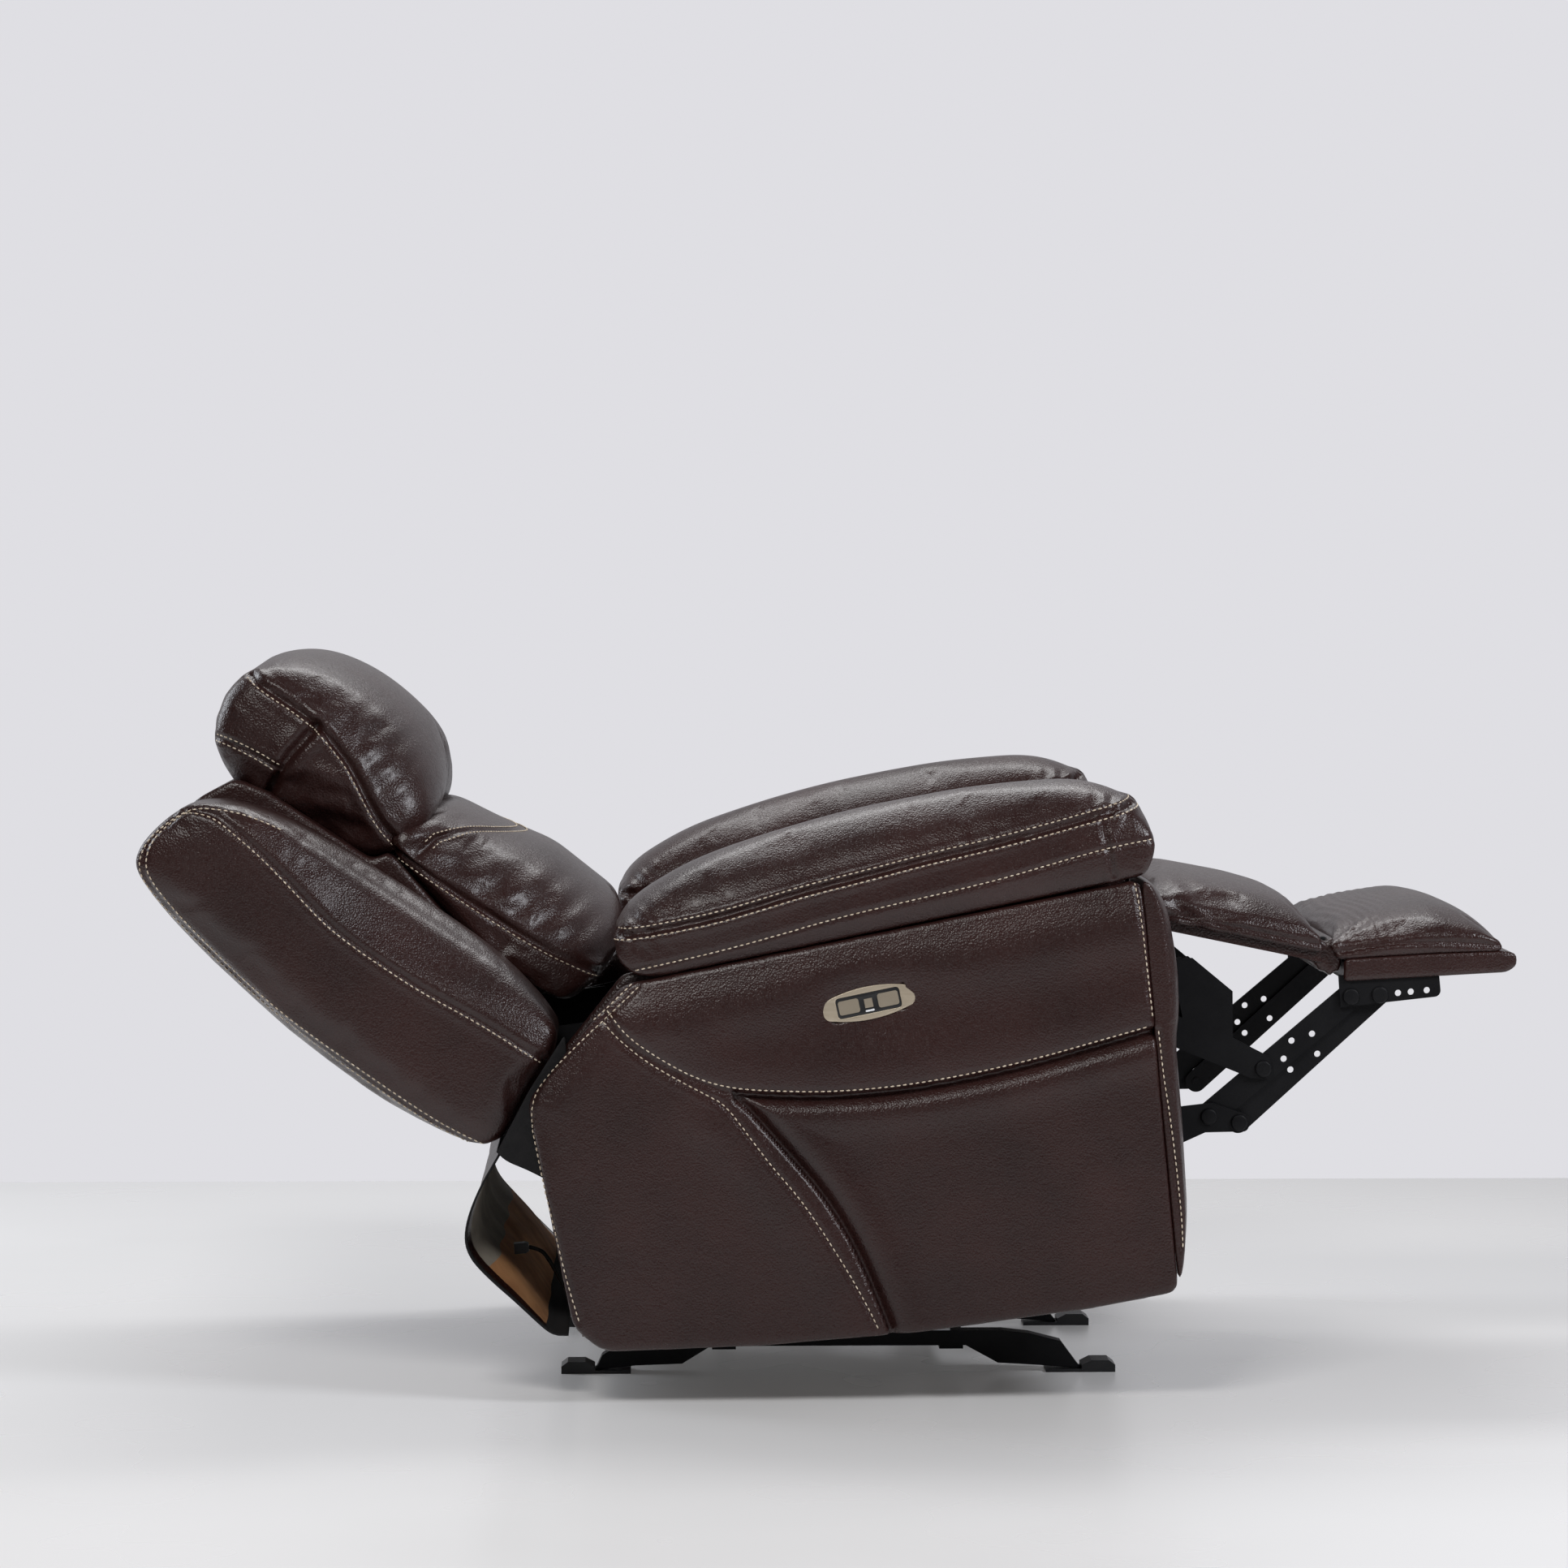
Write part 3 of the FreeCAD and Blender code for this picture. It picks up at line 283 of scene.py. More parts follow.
def chalk_front(piece, low_y, high_y, height):
    """a line across the chair at height(y), carried onto the front of a piece"""
    surface, backwards = surface_of(piece), Vector((-1, 0, 0))
    places = np.arange(low_y, high_y, CHALK_STEP)
    return row_of([surface.ray_cast(Vector((RAY_START, y, height(y))), backwards) for y in places])


def hump(value, middle, width):
    """1 at the middle, and next to nothing two widths away"""
    return np.exp(-(((value - middle) / width) ** 2))


def sink(piece, places, depth, width, ridge=0.0):
    """presses the surface in along the places, and lifts it a little beside them"""
    tree = KDTree(len(places))
    for index, place in enumerate(places):
        tree.insert(place, index)
    tree.balance()
    near = np.array([tree.find(point)[2] for point in points_of(piece)])
    raise_skin(piece, ridge * hump(near, 2.2 * width, 1.4 * width) - depth * hump(near, 0, width))

# %% [markdown]
# One stitch is a tiny bean of thread, made once from a sphere. A row of them is laid end to end along a
# seam with a small gap between, all in one mesh, because a chair has thousands.

# %% Thread
STITCH, GAP, THREAD = 0.0052, 0.0024, 0.00095
SHORTEST, LONGEST = 0.6 * STITCH, 1.5 * STITCH
bpy.ops.object.select_all(action="DESELECT")
bpy.ops.mesh.primitive_uv_sphere_add(segments=6, ring_count=4, radius=1.0)
bean = bpy.context.object
BEAN_POINTS = points_of(bean)[:, [2, 0, 1]] * (STITCH / 2, THREAD, THREAD)
BEAN_FACES = [tuple(polygon.vertices) for polygon in bean.data.polygons]
bpy.data.objects.remove(bean)
print("one stitch has", len(BEAN_POINTS), "points")


def part_way(distance, along, values):
    """the value at a distance along a row of points"""
    return np.array([np.interp(distance, along, values[:, k]) for k in range(3)])


def lay_stitches(places, normals):
    """the corner points of each stitch along one row"""
    steps = np.linalg.norm(np.diff(places, axis=0), axis=1)
    along = np.concatenate([[0], np.cumsum(steps)])
    for start in np.arange(0, along[-1] - STITCH, STITCH + GAP):
        first, last = (part_way(start + part, along, places) for part in (0, STITCH))
        up = part_way(start + STITCH / 2, along, normals)
        length = np.linalg.norm(last - first)
        if SHORTEST <= length <= LONGEST:
            ahead, up = (last - first) / length, up / max(np.linalg.norm(up), 1e-9)
            across = np.cross(up, ahead)
            middle = (first + last) / 2 + up * (THREAD * 0.45)
            yield middle + BEAN_POINTS[:, :1] * ahead + BEAN_POINTS[:, 1:2] * across + BEAN_POINTS[:, 2:] * up


def stitch(name, rows, square, body):
    """rows of stitches; each row is (places, normals) on a surface, in the given square"""
    vertices, faces = [], []
    for places, normals in rows:
        for bean_points in lay_stitches(places, normals):
            faces.extend(tuple(len(vertices) + corner for corner in face) for face in BEAN_FACES)
            vertices.extend(bean_points)
    mesh = bpy.data.meshes.new(name)
    mesh.from_pydata([tuple(v) for v in vertices], [], faces)
    thread = bpy.data.objects.new(name, mesh)
    bpy.context.scene.collection.objects.link(thread)
    pick(thread)
    bpy.ops.object.mode_set(mode="EDIT")
    bpy.ops.mesh.select_all(action="SELECT")
    bpy.ops.mesh.normals_make_consistent(inside=False)
    bpy.ops.object.mode_set(mode="OBJECT")
    bpy.ops.object.shade_smooth()
    mesh.transform(square)
    mesh.materials.append(thread_finish)
    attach(thread, body)
    print(name, len(vertices) // len(BEAN_POINTS), "stitches")


def mirrored(rows):
    """the same rows on the other side of the chair"""
    return [(places * (1, -1, 1), normals * (1, -1, 1)) for places, normals in rows]

# %% [markdown]
# A finished cover is carried from its square to its place on the chair, given its finish and hung on the body
# that it moves with. A cover for the other side is the same mesh with every y turned round, and its faces are
# flipped, because the turn leaves them inside out.

# %% Twins and upholstery
def twin(piece, name):
    """the same piece for the other side, with its own mesh"""
    other = piece.copy()
    other.data = piece.data.copy()
    other.name = other.data.name = name
    bpy.context.scene.collection.objects.link(other)
    put_points(other, points_of(other) * (1, -1, 1))
    other.data.flip_normals()
    return other


def carry(piece, square, finish):
    """carries a piece from its square to its place, gives it its finish and leaves it picked"""
    piece.data.transform(square)
    piece.data.materials.clear()
    piece.data.materials.append(finish)
    pick(piece)


def upholster(piece, square, body, *nodes, fill):
    """makes a piece the leather cover of its solids"""
    carry(piece, square, leather)
    bpy.ops.object.shade_smooth()
    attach(piece, body)
    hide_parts(*nodes)
    print(piece.name, "rides on", body, "and has", len(piece.data.polygons), "faces")


# %% [markdown]
# ## Finishes
# A finish is a small network of nodes. Colours, grain and dirt come from noise laid in the object's own
# space, so that they stay on the surface when a part moves. The few helpers below only shorten the wiring.

# %% Wiring helpers
def new_finish(name):
    finish = bpy.data.materials.new(name)
    finish.use_nodes = True
    nodes, links = finish.node_tree.nodes, finish.node_tree.links
    nodes.clear()
    shader = nodes.new("ShaderNodeBsdfPrincipled")
    output = nodes.new("ShaderNodeOutputMaterial")
    links.new(shader.outputs[0], output.inputs[0])
    place = nodes.new("ShaderNodeTexCoord").outputs["Object"]
    return finish, nodes, links, shader, place


def noise(nodes, links, place, scale, detail=3.0, roughness=0.5):
    made = nodes.new("ShaderNodeTexNoise")
    made.inputs["Scale"].default_value = scale
    made.inputs["Detail"].default_value = detail
    made.inputs["Roughness"].default_value = roughness
    links.new(place, made.inputs["Vector"])
    return made.outputs[0]


def ramp(nodes, links, value, stops):
    made = nodes.new("ShaderNodeValToRGB")
    links.new(value, made.inputs[0])
    made.color_ramp.elements[0].position, made.color_ramp.elements[0].color = stops[0][0], (*stops[0][1], 1)
    made.color_ramp.elements[1].position, made.color_ramp.elements[1].color = stops[-1][0], (*stops[-1][1], 1)
    for position, colour in stops[1:-1]:
        made.color_ramp.elements.new(position).color = (*colour, 1)
    return made.outputs[0]


def grey(nodes, links, value, low, high, dark=0.3, light=0.7):
    made = nodes.new("ShaderNodeMapRange")
    links.new(value, made.inputs["Value"])
    for name, number in (("From Min", dark), ("From Max", light), ("To Min", low), ("To Max", high)):
        made.inputs[name].default_value = number
    return made.outputs[0]


def bump(nodes, links, height, distance, strength, after=None):
    made = nodes.new("ShaderNodeBump")
    made.inputs["Distance"].default_value = distance
    made.inputs["Strength"].default_value = strength
    links.new(height, made.inputs["Height"])
    if after is not None:
        links.new(after, made.inputs["Normal"])
    return made.outputs[0]


# %% [markdown]
# The leather is a very dark espresso brown with a half-gloss top coat. Its grain is made of small flat
# pebbles with fine valleys between, which Voronoi cells give, and over it lie soft creases from handling.
# The top coat is worn unevenly, so the roughness wanders.

# %% Leather
LEATHER_DARK, LEATHER_LIGHT = (0.0195, 0.0068, 0.0058), (0.0345, 0.0120, 0.0102)
leather, nodes, links, shader, place = new_finish("espresso_leather")
cells = nodes.new("ShaderNodeTexVoronoi")
cells.feature = "SMOOTH_F1"
cells.inputs["Scale"].default_value = 420
cells.inputs["Smoothness"].default_value = 0.35
links.new(place, cells.inputs["Vector"])
wide, fine = noise(nodes, links, place, 9, 4), noise(nodes, links, place, 160, 5, 0.65)
creases = noise(nodes, links, place, 38, 5, 0.55)
brown = ramp(nodes, links, wide, [(0.25, LEATHER_DARK), (0.75, LEATHER_LIGHT)])
links.new(brown, shader.inputs["Base Color"])
links.new(grey(nodes, links, fine, 0.25, 0.40), shader.inputs["Roughness"])
grain = bump(nodes, links, cells.outputs["Distance"], 0.0012, 0.42)
wrinkled = bump(nodes, links, fine, 0.0016, 0.38, grain)
links.new(bump(nodes, links, creases, 0.0035, 0.22, wrinkled), shader.inputs["Normal"])
shader.inputs["Specular IOR Level"].default_value = 0.42
shader.inputs["Coat Weight"].default_value = 0.14
shader.inputs["Coat Roughness"].default_value = 0.18
print("finish", leather.name, len(nodes), "nodes")

# %% [markdown]
# The thread is a cream polyester cord. It is matt, a little uneven in colour, and its twist shows as a fine
# ripple.

# %% Thread finish
thread_finish, nodes, links, shader, place = new_finish("cream_thread")
THREAD_DARK, THREAD_LIGHT = (0.50, 0.40, 0.29), (0.80, 0.70, 0.56)
cream = ramp(nodes, links, noise(nodes, links, place, 220, 2), [(0.3, THREAD_DARK), (0.7, THREAD_LIGHT)])
links.new(cream, shader.inputs["Base Color"])
links.new(bump(nodes, links, noise(nodes, links, place, 1400, 1), 0.0003, 0.5), shader.inputs["Normal"])
shader.inputs["Roughness"].default_value = 0.75
print("finish", thread_finish.name, len(nodes), "nodes")

# %% [markdown]
# The hard parts have plainer finishes: black powder coat with a fine orange-peel skin, zinc plate with
# brushed streaks, moulded black plastic, raw wood board, black backing cloth, and the switch's warm metal.

# %% Finishes of the hard parts
def plain_finish(name, dark, light, tone_scale, rough, skin, metallic=0.0, stretch=None, specular=0.5):
    """a mottled colour; rough is the range of the roughness, skin the scale and height of the bumps"""
    finish, nodes, links, shader, place = new_finish(name)
    if stretch:
        mapping = nodes.new("ShaderNodeMapping")
        mapping.inputs["Scale"].default_value = stretch
        links.new(place, mapping.inputs["Vector"])
        place = mapping.outputs[0]
    tone, fine = noise(nodes, links, place, tone_scale, 4), noise(nodes, links, place, skin[0], 3, 0.6)
    links.new(ramp(nodes, links, tone, [(0.3, dark), (0.7, light)]), shader.inputs["Base Color"])
    links.new(grey(nodes, links, fine, *rough), shader.inputs["Roughness"])
    links.new(bump(nodes, links, fine, skin[1], 0.35), shader.inputs["Normal"])
    shader.inputs["Metallic"].default_value = metallic
    shader.inputs["Specular IOR Level"].default_value = specular
    return finish


finishes = {
    "black_steel": plain_finish("black_powder_coat", (0.004, 0.004, 0.005), (0.010, 0.010, 0.011),
                                14, (0.38, 0.52), (650, 0.0004), specular=0.16),
    "zinc_steel": plain_finish("zinc_plate", (0.42, 0.43, 0.45), (0.60, 0.61, 0.63),
                               30, (0.28, 0.42), (300, 0.0003), metallic=1.0, stretch=(1, 8, 8)),
    "black_plastic": plain_finish("black_moulding", (0.007, 0.007, 0.008), (0.014, 0.014, 0.015),
                                  22, (0.34, 0.46), (900, 0.0003)),
    "frame_wood": plain_finish("raw_board", (0.060, 0.036, 0.020), (0.110, 0.068, 0.038),
                               8, (0.62, 0.78), (120, 0.0008), stretch=(1, 6, 10)),
    "black_cloth": plain_finish("black_backing_cloth", (0.004, 0.004, 0.005), (0.010, 0.009, 0.010),
                                60, (0.85, 0.95), (1500, 0.0008)),
    "lining_cloth": plain_finish("tan_suede", (0.46, 0.21, 0.085), (0.66, 0.34, 0.15),
                                 26, (0.86, 0.95), (700, 0.0008)),
    "foam": plain_finish("cream_foam", (0.55, 0.49, 0.36), (0.68, 0.62, 0.50),
                         30, (0.85, 0.95), (500, 0.0010)),
    "champagne_metal": plain_finish("champagne_metal", (0.42, 0.35, 0.26), (0.50, 0.43, 0.33),
                                    18, (0.36, 0.44), (500, 0.00002), metallic=0.35, stretch=(1, 1, 12)),
    "bronze_buttons": plain_finish("bronze_key", (0.34, 0.29, 0.22), (0.42, 0.36, 0.28),
                                   14, (0.28, 0.34), (400, 0.00001), metallic=0.45),
    "cord_jacket": plain_finish("lead_jacket_rubber", (0.006, 0.006, 0.006), (0.013, 0.013, 0.013),
                                50, (0.40, 0.52), (900, 0.0002)),
    "leather": leather,
    "thread": thread_finish,
}
# painted shade: a grey, darker copy of the tan suede, for the flap lining's upper part that lies in shade
shaded_suede_lining = plain_finish("shaded_suede_lining", (0.30, 0.27, 0.22), (0.42, 0.38, 0.32),
                           26, (0.85, 0.95), (700, 0.0008))
print("finishes", sorted(finishes))

# %% [markdown]
# ## The lead
# A short black lead leaves the gland of the control box behind the seat, dips, and rises to a connector that
# lies in the cloth flap. It is a smooth spline on a few points, as thick as a lamp cord.

# %% The lead
LEAD_POINTS = [(-0.280, -0.246, 0.125), (-0.297, -0.247, 0.1245), (-0.314, -0.249, 0.126),
               (-0.328, -0.250, 0.134), (-0.338, -0.250, 0.148), (-0.345, -0.251, 0.166),
               (-0.3525, -0.251, 0.182), (-0.361, -0.250, 0.194), (-0.375, -0.250, 0.198)]
LEAD_DIAMETER, LEAD_LENGTH = 0.005, 0.1328
curve = bpy.data.curves.new("lead_jacket", "CURVE")
curve.dimensions = "3D"
curve.bevel_depth, curve.bevel_resolution, curve.resolution_u = LEAD_DIAMETER / 2, 4, 10
curve.use_fill_caps = True
spline = curve.splines.new("NURBS")
spline.points.add(len(LEAD_POINTS) - 1)
for knot, point in zip(spline.points, LEAD_POINTS):
    knot.co = (*(SEAT @ Vector(point)), 1)
spline.order_u = 3
spline.use_endpoint_u = True
lead = bpy.data.objects.new("lead_jacket", curve)
bpy.context.scene.collection.objects.link(lead)
curve.materials.append(finishes["cord_jacket"])
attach(lead, "seat_unit")
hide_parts("power_lead")

# %% [markdown]
# ## The side panels
# The whole side of the chair is one leather panel over board, sewn from three cuts. The upper cut carries
# the switch and laps over the others along a long sweeping seam. Below it, the front cut is tucked under
# both neighbours, so a deep shadow lies along its top and its rear edge. A dense mesh is pushed in and out
# by how far each point lies from those lines.

# %% Seam lines of the side panel
SIDE_OUTLINE = [(407, 98), (407, 598), (-226, 531), (-352, 402), (-323, 125), (-290, 93), (-100, 82),
                (100, 80), (300, 88)]
SWEEP = [(-246, 499), (-225, 465), (-185, 432), (-145, 406), (-104, 391), (-51, 383), (2, 377), (55, 375),
         (109, 376), (163, 380), (217, 386), (271, 394), (325, 404), (380, 414), (410, 420)]
REAR_SEAM = [(-252, 489), (-238, 469), (-206, 437), (-166, 409), (-136, 390), (-116, 376), (-97, 346),
             (-70, 301), (-41, 261), (-18, 221), (2, 182), (22, 140), (35, 109), (43, 86)]
TUCK = [(-112, 384), (-95, 373), (-62, 327), (-33, 287), (-10, 253), (13, 208), (30, 163), (42, 125),
        (56, 76)]
EDGE_SEAM = [(-206, 527), (-235, 504), (-283, 467), (-332, 424), (-346, 401), (-349, 376), (-347, 333),
             (-335, 257), (-326, 187), (-315, 132)]
FRONT_SEAM = [(399, 594), (401, 576), (403, 525), (404, 479), (405, 430)]
OUTER_SKIN = (0.4835, 0.4945)


def distance_to(line, x, z):
    """how far each point (x, z) is from a line, in metres"""
    near = np.full(len(x), 9.0)
    for start, end in zip(line[:-1], line[1:]):
        run = end - start
        t = np.clip(((x - start[0]) * run[0] + (z - start[1]) * run[1]) / (run @ run), 0, 1)
        near = np.minimum(near, np.hypot(x - start[0] - t * run[0], z - start[1] - t * run[1]))
    return near


def step(value, low, high):
    """0 up to low, 1 from high on, and a smooth rise between them"""
    t = np.clip((value - low) / (high - low), 0, 1)
    return t * t * (3 - 2 * t)


sweep, tuck = smooth_line(SWEEP, 0.01), smooth_line(TUCK, 0.01)
print("the sweep has", len(sweep), "points and the tuck", len(tuck))


# %% Make the right side panel
side = block("side_cover_right", soften(SIDE_OUTLINE, 16), -500, -482, end_bevel=0.007)
remesh(side, 0.0058)
finish_modifier(side, "SUBSURF", levels=1, render_levels=1)
points = points_of(side)
x, y, z = points.T
corners = np.array(SIDE_OUTLINE) / 1000
to_top, to_rear = distance_to(corners[[2, 1]], x, z), distance_to(corners[2:5], x, z)
to_sweep, to_tuck = distance_to(sweep, x, z), distance_to(tuck, x, z)
to_seam = np.minimum(to_sweep, to_tuck)
print("the farthest point is", round(float(to_seam.max()), 3), "m from a seam")

# %% [markdown]
# Each cut has its own height. It is full a few centimetres from its seam and falls away towards it, and the
# front cut dives deep under its neighbours. The whole panel thins out at its top and rear edges.

# %% Raise the three cuts
HALF_LAP = 0.0015
above = z - np.interp(x, sweep[:, 0], sweep[:, 1], left=0.60)
ahead = x - np.interp(z, tuck[::-1, 1], tuck[::-1, 0])
upper = step(above, -HALF_LAP, HALF_LAP)
front = (1 - upper) * step(ahead, -HALF_LAP, HALF_LAP) * (x > -0.105)
rear = (1 - upper) * (1 - front)
dive = np.exp(-(np.maximum(to_seam - 0.0045, 0) / 0.0085) ** 1.5)
lift = upper * (0.0045 + 0.0020 * hump(to_sweep, 0.03, 0.03) - 0.0035 * hump(to_sweep, 0, 0.005))
lift += rear * (0.0030 + 0.0025 * hump(to_tuck, 0.04, 0.03) - 0.0030 * hump(to_sweep, 0, 0.006))
lift -= rear * 0.0015 * hump(to_tuck, 0, 0.012)
lift += front * (0.0030 - 0.0135 * dive + 0.0025 * hump(to_seam, 0.030, 0.020))
lift += upper * (0.0030 * hump(to_top, 0.060, 0.030) - 0.0075 * hump(to_top, 0, 0.026))
lift -= 0.0060 * hump(to_rear, 0, 0.020) * step(z, 0.30, 0.40)
outer = step(-y, *OUTER_SKIN)
points[:, 1] = y - lift * outer
put_points(side, points)
print("side panel lifted", round(float((lift * outer).max()) * 1000, 1), "mm at most")

# %% Sew the side panels
side_lines = [smooth_line([(x, z + 4) for x, z in SWEEP])]
side_lines += [smooth_line(line) for line in (REAR_SEAM, EDGE_SEAM, FRONT_SEAM)]
outer_edge = smooth_line([(x - 5, z + 6) for x, z in EDGE_SEAM[:6]])
for line in side_lines[1:]:
    sink(side, chalk(side, line, -1)[0], 0.0016, 0.003, 0.0006)
rows = [chalk(side, line, -1) for line in (*side_lines, outer_edge)]
side_left = twin(side, "side_cover_left")
print("side seams marked:", len(rows))

# %% [markdown]
# The right panel alone carries the switch. The leather is drawn in around its plate, and a pocket behind the
# plate holds the switch box.

# %% The hollow for the switch
SWITCH_PLACE, SWITCH_SLOPE = (0.067, 0.482), 0.11
POCKET_HALF, POCKET_HIGH, POCKET_DEPTH = 0.046, 0.0155, 0.0150
PLATE_BACK = -0.500
points = points_of(side)
x, y, z = points.T
along_plate = x - SWITCH_PLACE[0]
above_plate = z - SWITCH_PLACE[1] - SWITCH_SLOPE * along_plate
drawn_in = hump(np.hypot(along_plate / 1.7, z - SWITCH_PLACE[1]), 0, 0.042)
into_pocket = np.maximum(np.abs(along_plate) / POCKET_HALF, np.abs(above_plate) / POCKET_HIGH)
pocket = POCKET_DEPTH * (1 - step(into_pocket, 0.88, 1.0))
points[:, 1] = y + (drawn_in * (PLATE_BACK - y) + pocket) * step(-y, *OUTER_SKIN)
put_points(side, points)
upholster(side, SEAT, "seat_unit", "side_panel_right", fill=0.9)
upholster(side_left, SEAT, "seat_unit", "side_panel_left", fill=0.9)
stitch("side_stitching_right", rows, SEAT, "seat_unit")
stitch("side_stitching_left", mirrored(rows), SEAT, "seat_unit")

# %% [markdown]
# A stuffed face is domed: full in the middle of its width and falling away to its seams. The first helper
# lowers a face towards its two ends along a superellipse, which keeps the middle broad and the shoulders
# round. The others shape the folds: a wave runs along the face, and a fade lets it die away beside its seam.

# %% Domes and folds
def crown(piece, axis, low, middle, half, edge_share, power):
    """lowers a domed face towards its two ends; low(points) is the height that doesn't move"""
    points = points_of(piece)
    outwards = np.clip(np.abs(points[:, 1] - middle) / half, 0, 1)
    share = edge_share + (1 - edge_share) * (1 - outwards ** power) ** (1 / power)
    base, height = low(points), points[:, axis].copy()
    points[:, axis] = np.where(height > base, base + (height - base) * share, height)
    put_points(piece, points)
    print(piece.name, "domed to", round(edge_share * 100), "% at its ends")


def wave(along, length, wander=0.0):
    """folds a length apart; wander is in radians and keeps them from lying evenly"""
    return np.sin(along * 2 * math.pi / length + wander)


def fade(value, length):
    """1 where the value is not above 0, and dying away over a length beyond it"""
    return np.exp(-np.maximum(value, 0) / length)


# %% [markdown]
# ## The front rolls
# Each arm ends at the front in a narrow upright roll, foam under leather, that is fullest a little below its
# middle.

# %% The front rolls
ROLL_OUTLINE = [(407, 110), (418, 123), (430, 190), (434, 300), (435, 398), (443, 432), (446, 490),
                (440, 560), (424, 592), (407, 598)]
roll = block("front_roll_cover_right", soften(ROLL_OUTLINE, 22), -499, -311, end_bevel=0.008)
remesh(roll, 0.0052)
crown(roll, 0, lambda p: 0.408, -0.405, 0.0955, 0.36, 3.0)
finish_modifier(roll, "SUBSURF", levels=1, render_levels=1)
ROLL_SEAM = [(411, 415), (412, 360), (415, 317), (417, 270), (418, 215), (418, 179), (416, 150)]
rows = [chalk(roll, smooth_line(ROLL_SEAM), -1)]
sink(roll, rows[0][0], 0.0014, 0.003, 0.0005)
roll_left = twin(roll, "front_roll_cover_left")
upholster(roll, SEAT, "seat_unit", "front_roll_right", fill=0.8)
upholster(roll_left, SEAT, "seat_unit", "front_roll_left", fill=0.8)
stitch("roll_stitching_right", rows, SEAT, "seat_unit")
stitch("roll_stitching_left", mirrored(rows), SEAT, "seat_unit")

# %% [markdown]
# ## The arm pads
# The arm's top is a fat pillow of foam and fibre. Its top cut is domed and gathered onto a flat band, with
# two rows of thread, and the band is closed below by a single row. At the front corner the leather has to go
# round two bends at once, so it is pleated there.

# %% Shape the arm pad
PAD_OUTLINE = [(-203, 534), (-236, 580), (-212, 628), (-126, 668), (71, 707), (240, 722), (350, 724),
               (416, 694), (432, 648), (416, 604), (400, 600)]
PAD_UPPER = [(-232, 586), (-209, 584), (-172, 587), (-107, 594), (-50, 605), (1, 616), (81, 628),
             (151, 640), (221, 649), (291, 660), (357, 672), (399, 679), (425, 689)]
PAD_LOWER = [(-208, 547), (-156, 554), (-110, 560), (-40, 572), (31, 586), (101, 596), (170, 605),
             (240, 615), (311, 629), (367, 639), (404, 643), (427, 645)]
PAD_JOIN = [(366, 672), (370, 648), (375, 606)]
PAD_FLOOR = [(-260, 528), (-203, 534), (-18, 553), (214, 578), (400, 600), (450, 606)]
PAD_MIDDLE, PAD_HALF = 0.401, 0.099
floor_line = smooth_line(PAD_FLOOR, 0.01)


def pad_floor(points):
    """the height of the pad's underside"""
    return np.interp(points[:, 0], floor_line[:, 0], floor_line[:, 1])


pad = block("arm_pad_cover_right", soften(PAD_OUTLINE, 40), -497, -305, end_bevel=0.012)
remesh(pad, 0.0055)
crown(pad, 2, pad_floor, -PAD_MIDDLE, PAD_HALF, 0.50, 2.3)
swell(pad, 0.010, held=lambda p: p[:, 2] < pad_floor(p) + 0.003)

# %% Sew the arm pad
SEAM_DROP = 0.007
upper_seam, lower_seam, join = smooth_line(PAD_UPPER), smooth_line(PAD_LOWER), smooth_line(PAD_JOIN)
pad_seams = ((upper_seam + (0, SEAM_DROP), 0.0055, 0.0042), (lower_seam, 0.0012, 0.003),
             (join, 0.003, 0.0035))
for face in (-1, 1):
    for line, depth, width in pad_seams:
        sink(pad, chalk(pad, line, face)[0], depth, width, depth * 0.35)
print("arm pad sewn with", len(pad_seams), "seams on each face")

# %% Gather the arm pad
points = points_of(pad)
x, over = points[:, 0], points[:, 2] - np.interp(points[:, 0], upper_seam[:, 0], upper_seam[:, 1] + SEAM_DROP)
outside = step(np.abs(points[:, 1] + PAD_MIDDLE), 0.045, 0.085)
gather = wave(x, 0.031, 1.3 * np.sin(x * 23)) * step(over, 0.001, 0.012) * fade(over, 0.022)
pleats = wave(x - over * 0.35, 0.024) * hump(x, 0.385, 0.035) * hump(over, 0.012, 0.03)
rear_folds = wave(x + over * 0.8, 0.026) * hump(x, -0.20, 0.035) * hump(over, 0.010, 0.03)
band = wave(x, 0.043) * step(-over, 0.004, 0.012) * fade(-over, 0.02)
raise_skin(pad, outside * (0.00035 * gather + 0.0022 * pleats + 0.0011 * rear_folds + 0.0003 * band))
rows = [chalk(pad, line, -1) for line in (upper_seam, upper_seam + (0, 0.0135), lower_seam)]
pad_left = twin(pad, "arm_pad_cover_left")
upholster(pad, SEAT, "seat_unit", "arm_pad_right", fill=0.8)
upholster(pad_left, SEAT, "seat_unit", "arm_pad_left", fill=0.8)
stitch("pad_stitching_right", rows, SEAT, "seat_unit")
stitch("pad_stitching_left", mirrored(rows), SEAT, "seat_unit")

# %% [markdown]
# ## The head cushion
# The head cushion is the fullest piece: a pillow of fibre, sewn from a long front cut and a side cut at each
# end. The seam between them runs from behind the top, round the end and down. The loose skin falls into
# pleats under it.

# %% Shape the head cushion
HEAD_OUTLINE = [(-322, 790), (-364, 872), (-386, 940), (-394, 1004), (-374, 1060), (-299, 1087),
                (-224, 1060), (-185, 985), (-175, 905), (-184, 828), (-216, 784)]
HEAD_SEAM = [(-286, 1074), (-285, 1058), (-279, 1033), (-271, 1004), (-265, 973), (-265, 941), (-268, 905),
             (-278, 869), (-288, 832), (-289, 798)]
HEAD_SHORT = [(-372, 1046), (-362, 1030), (-350, 1003), (-342, 980), (-338, 966)]
HEAD_PLEAT = [(-268, 972), (-301, 969), (-328, 964), (-351, 956), (-380, 944)]
head = block("head_cushion_cover", soften(HEAD_OUTLINE, 60), -286, 286, end_bevel=0.03)
remesh(head, 0.0065)
crown(head, 0, lambda p: -0.350, 0.0, 0.292, 0.42, 2.6)
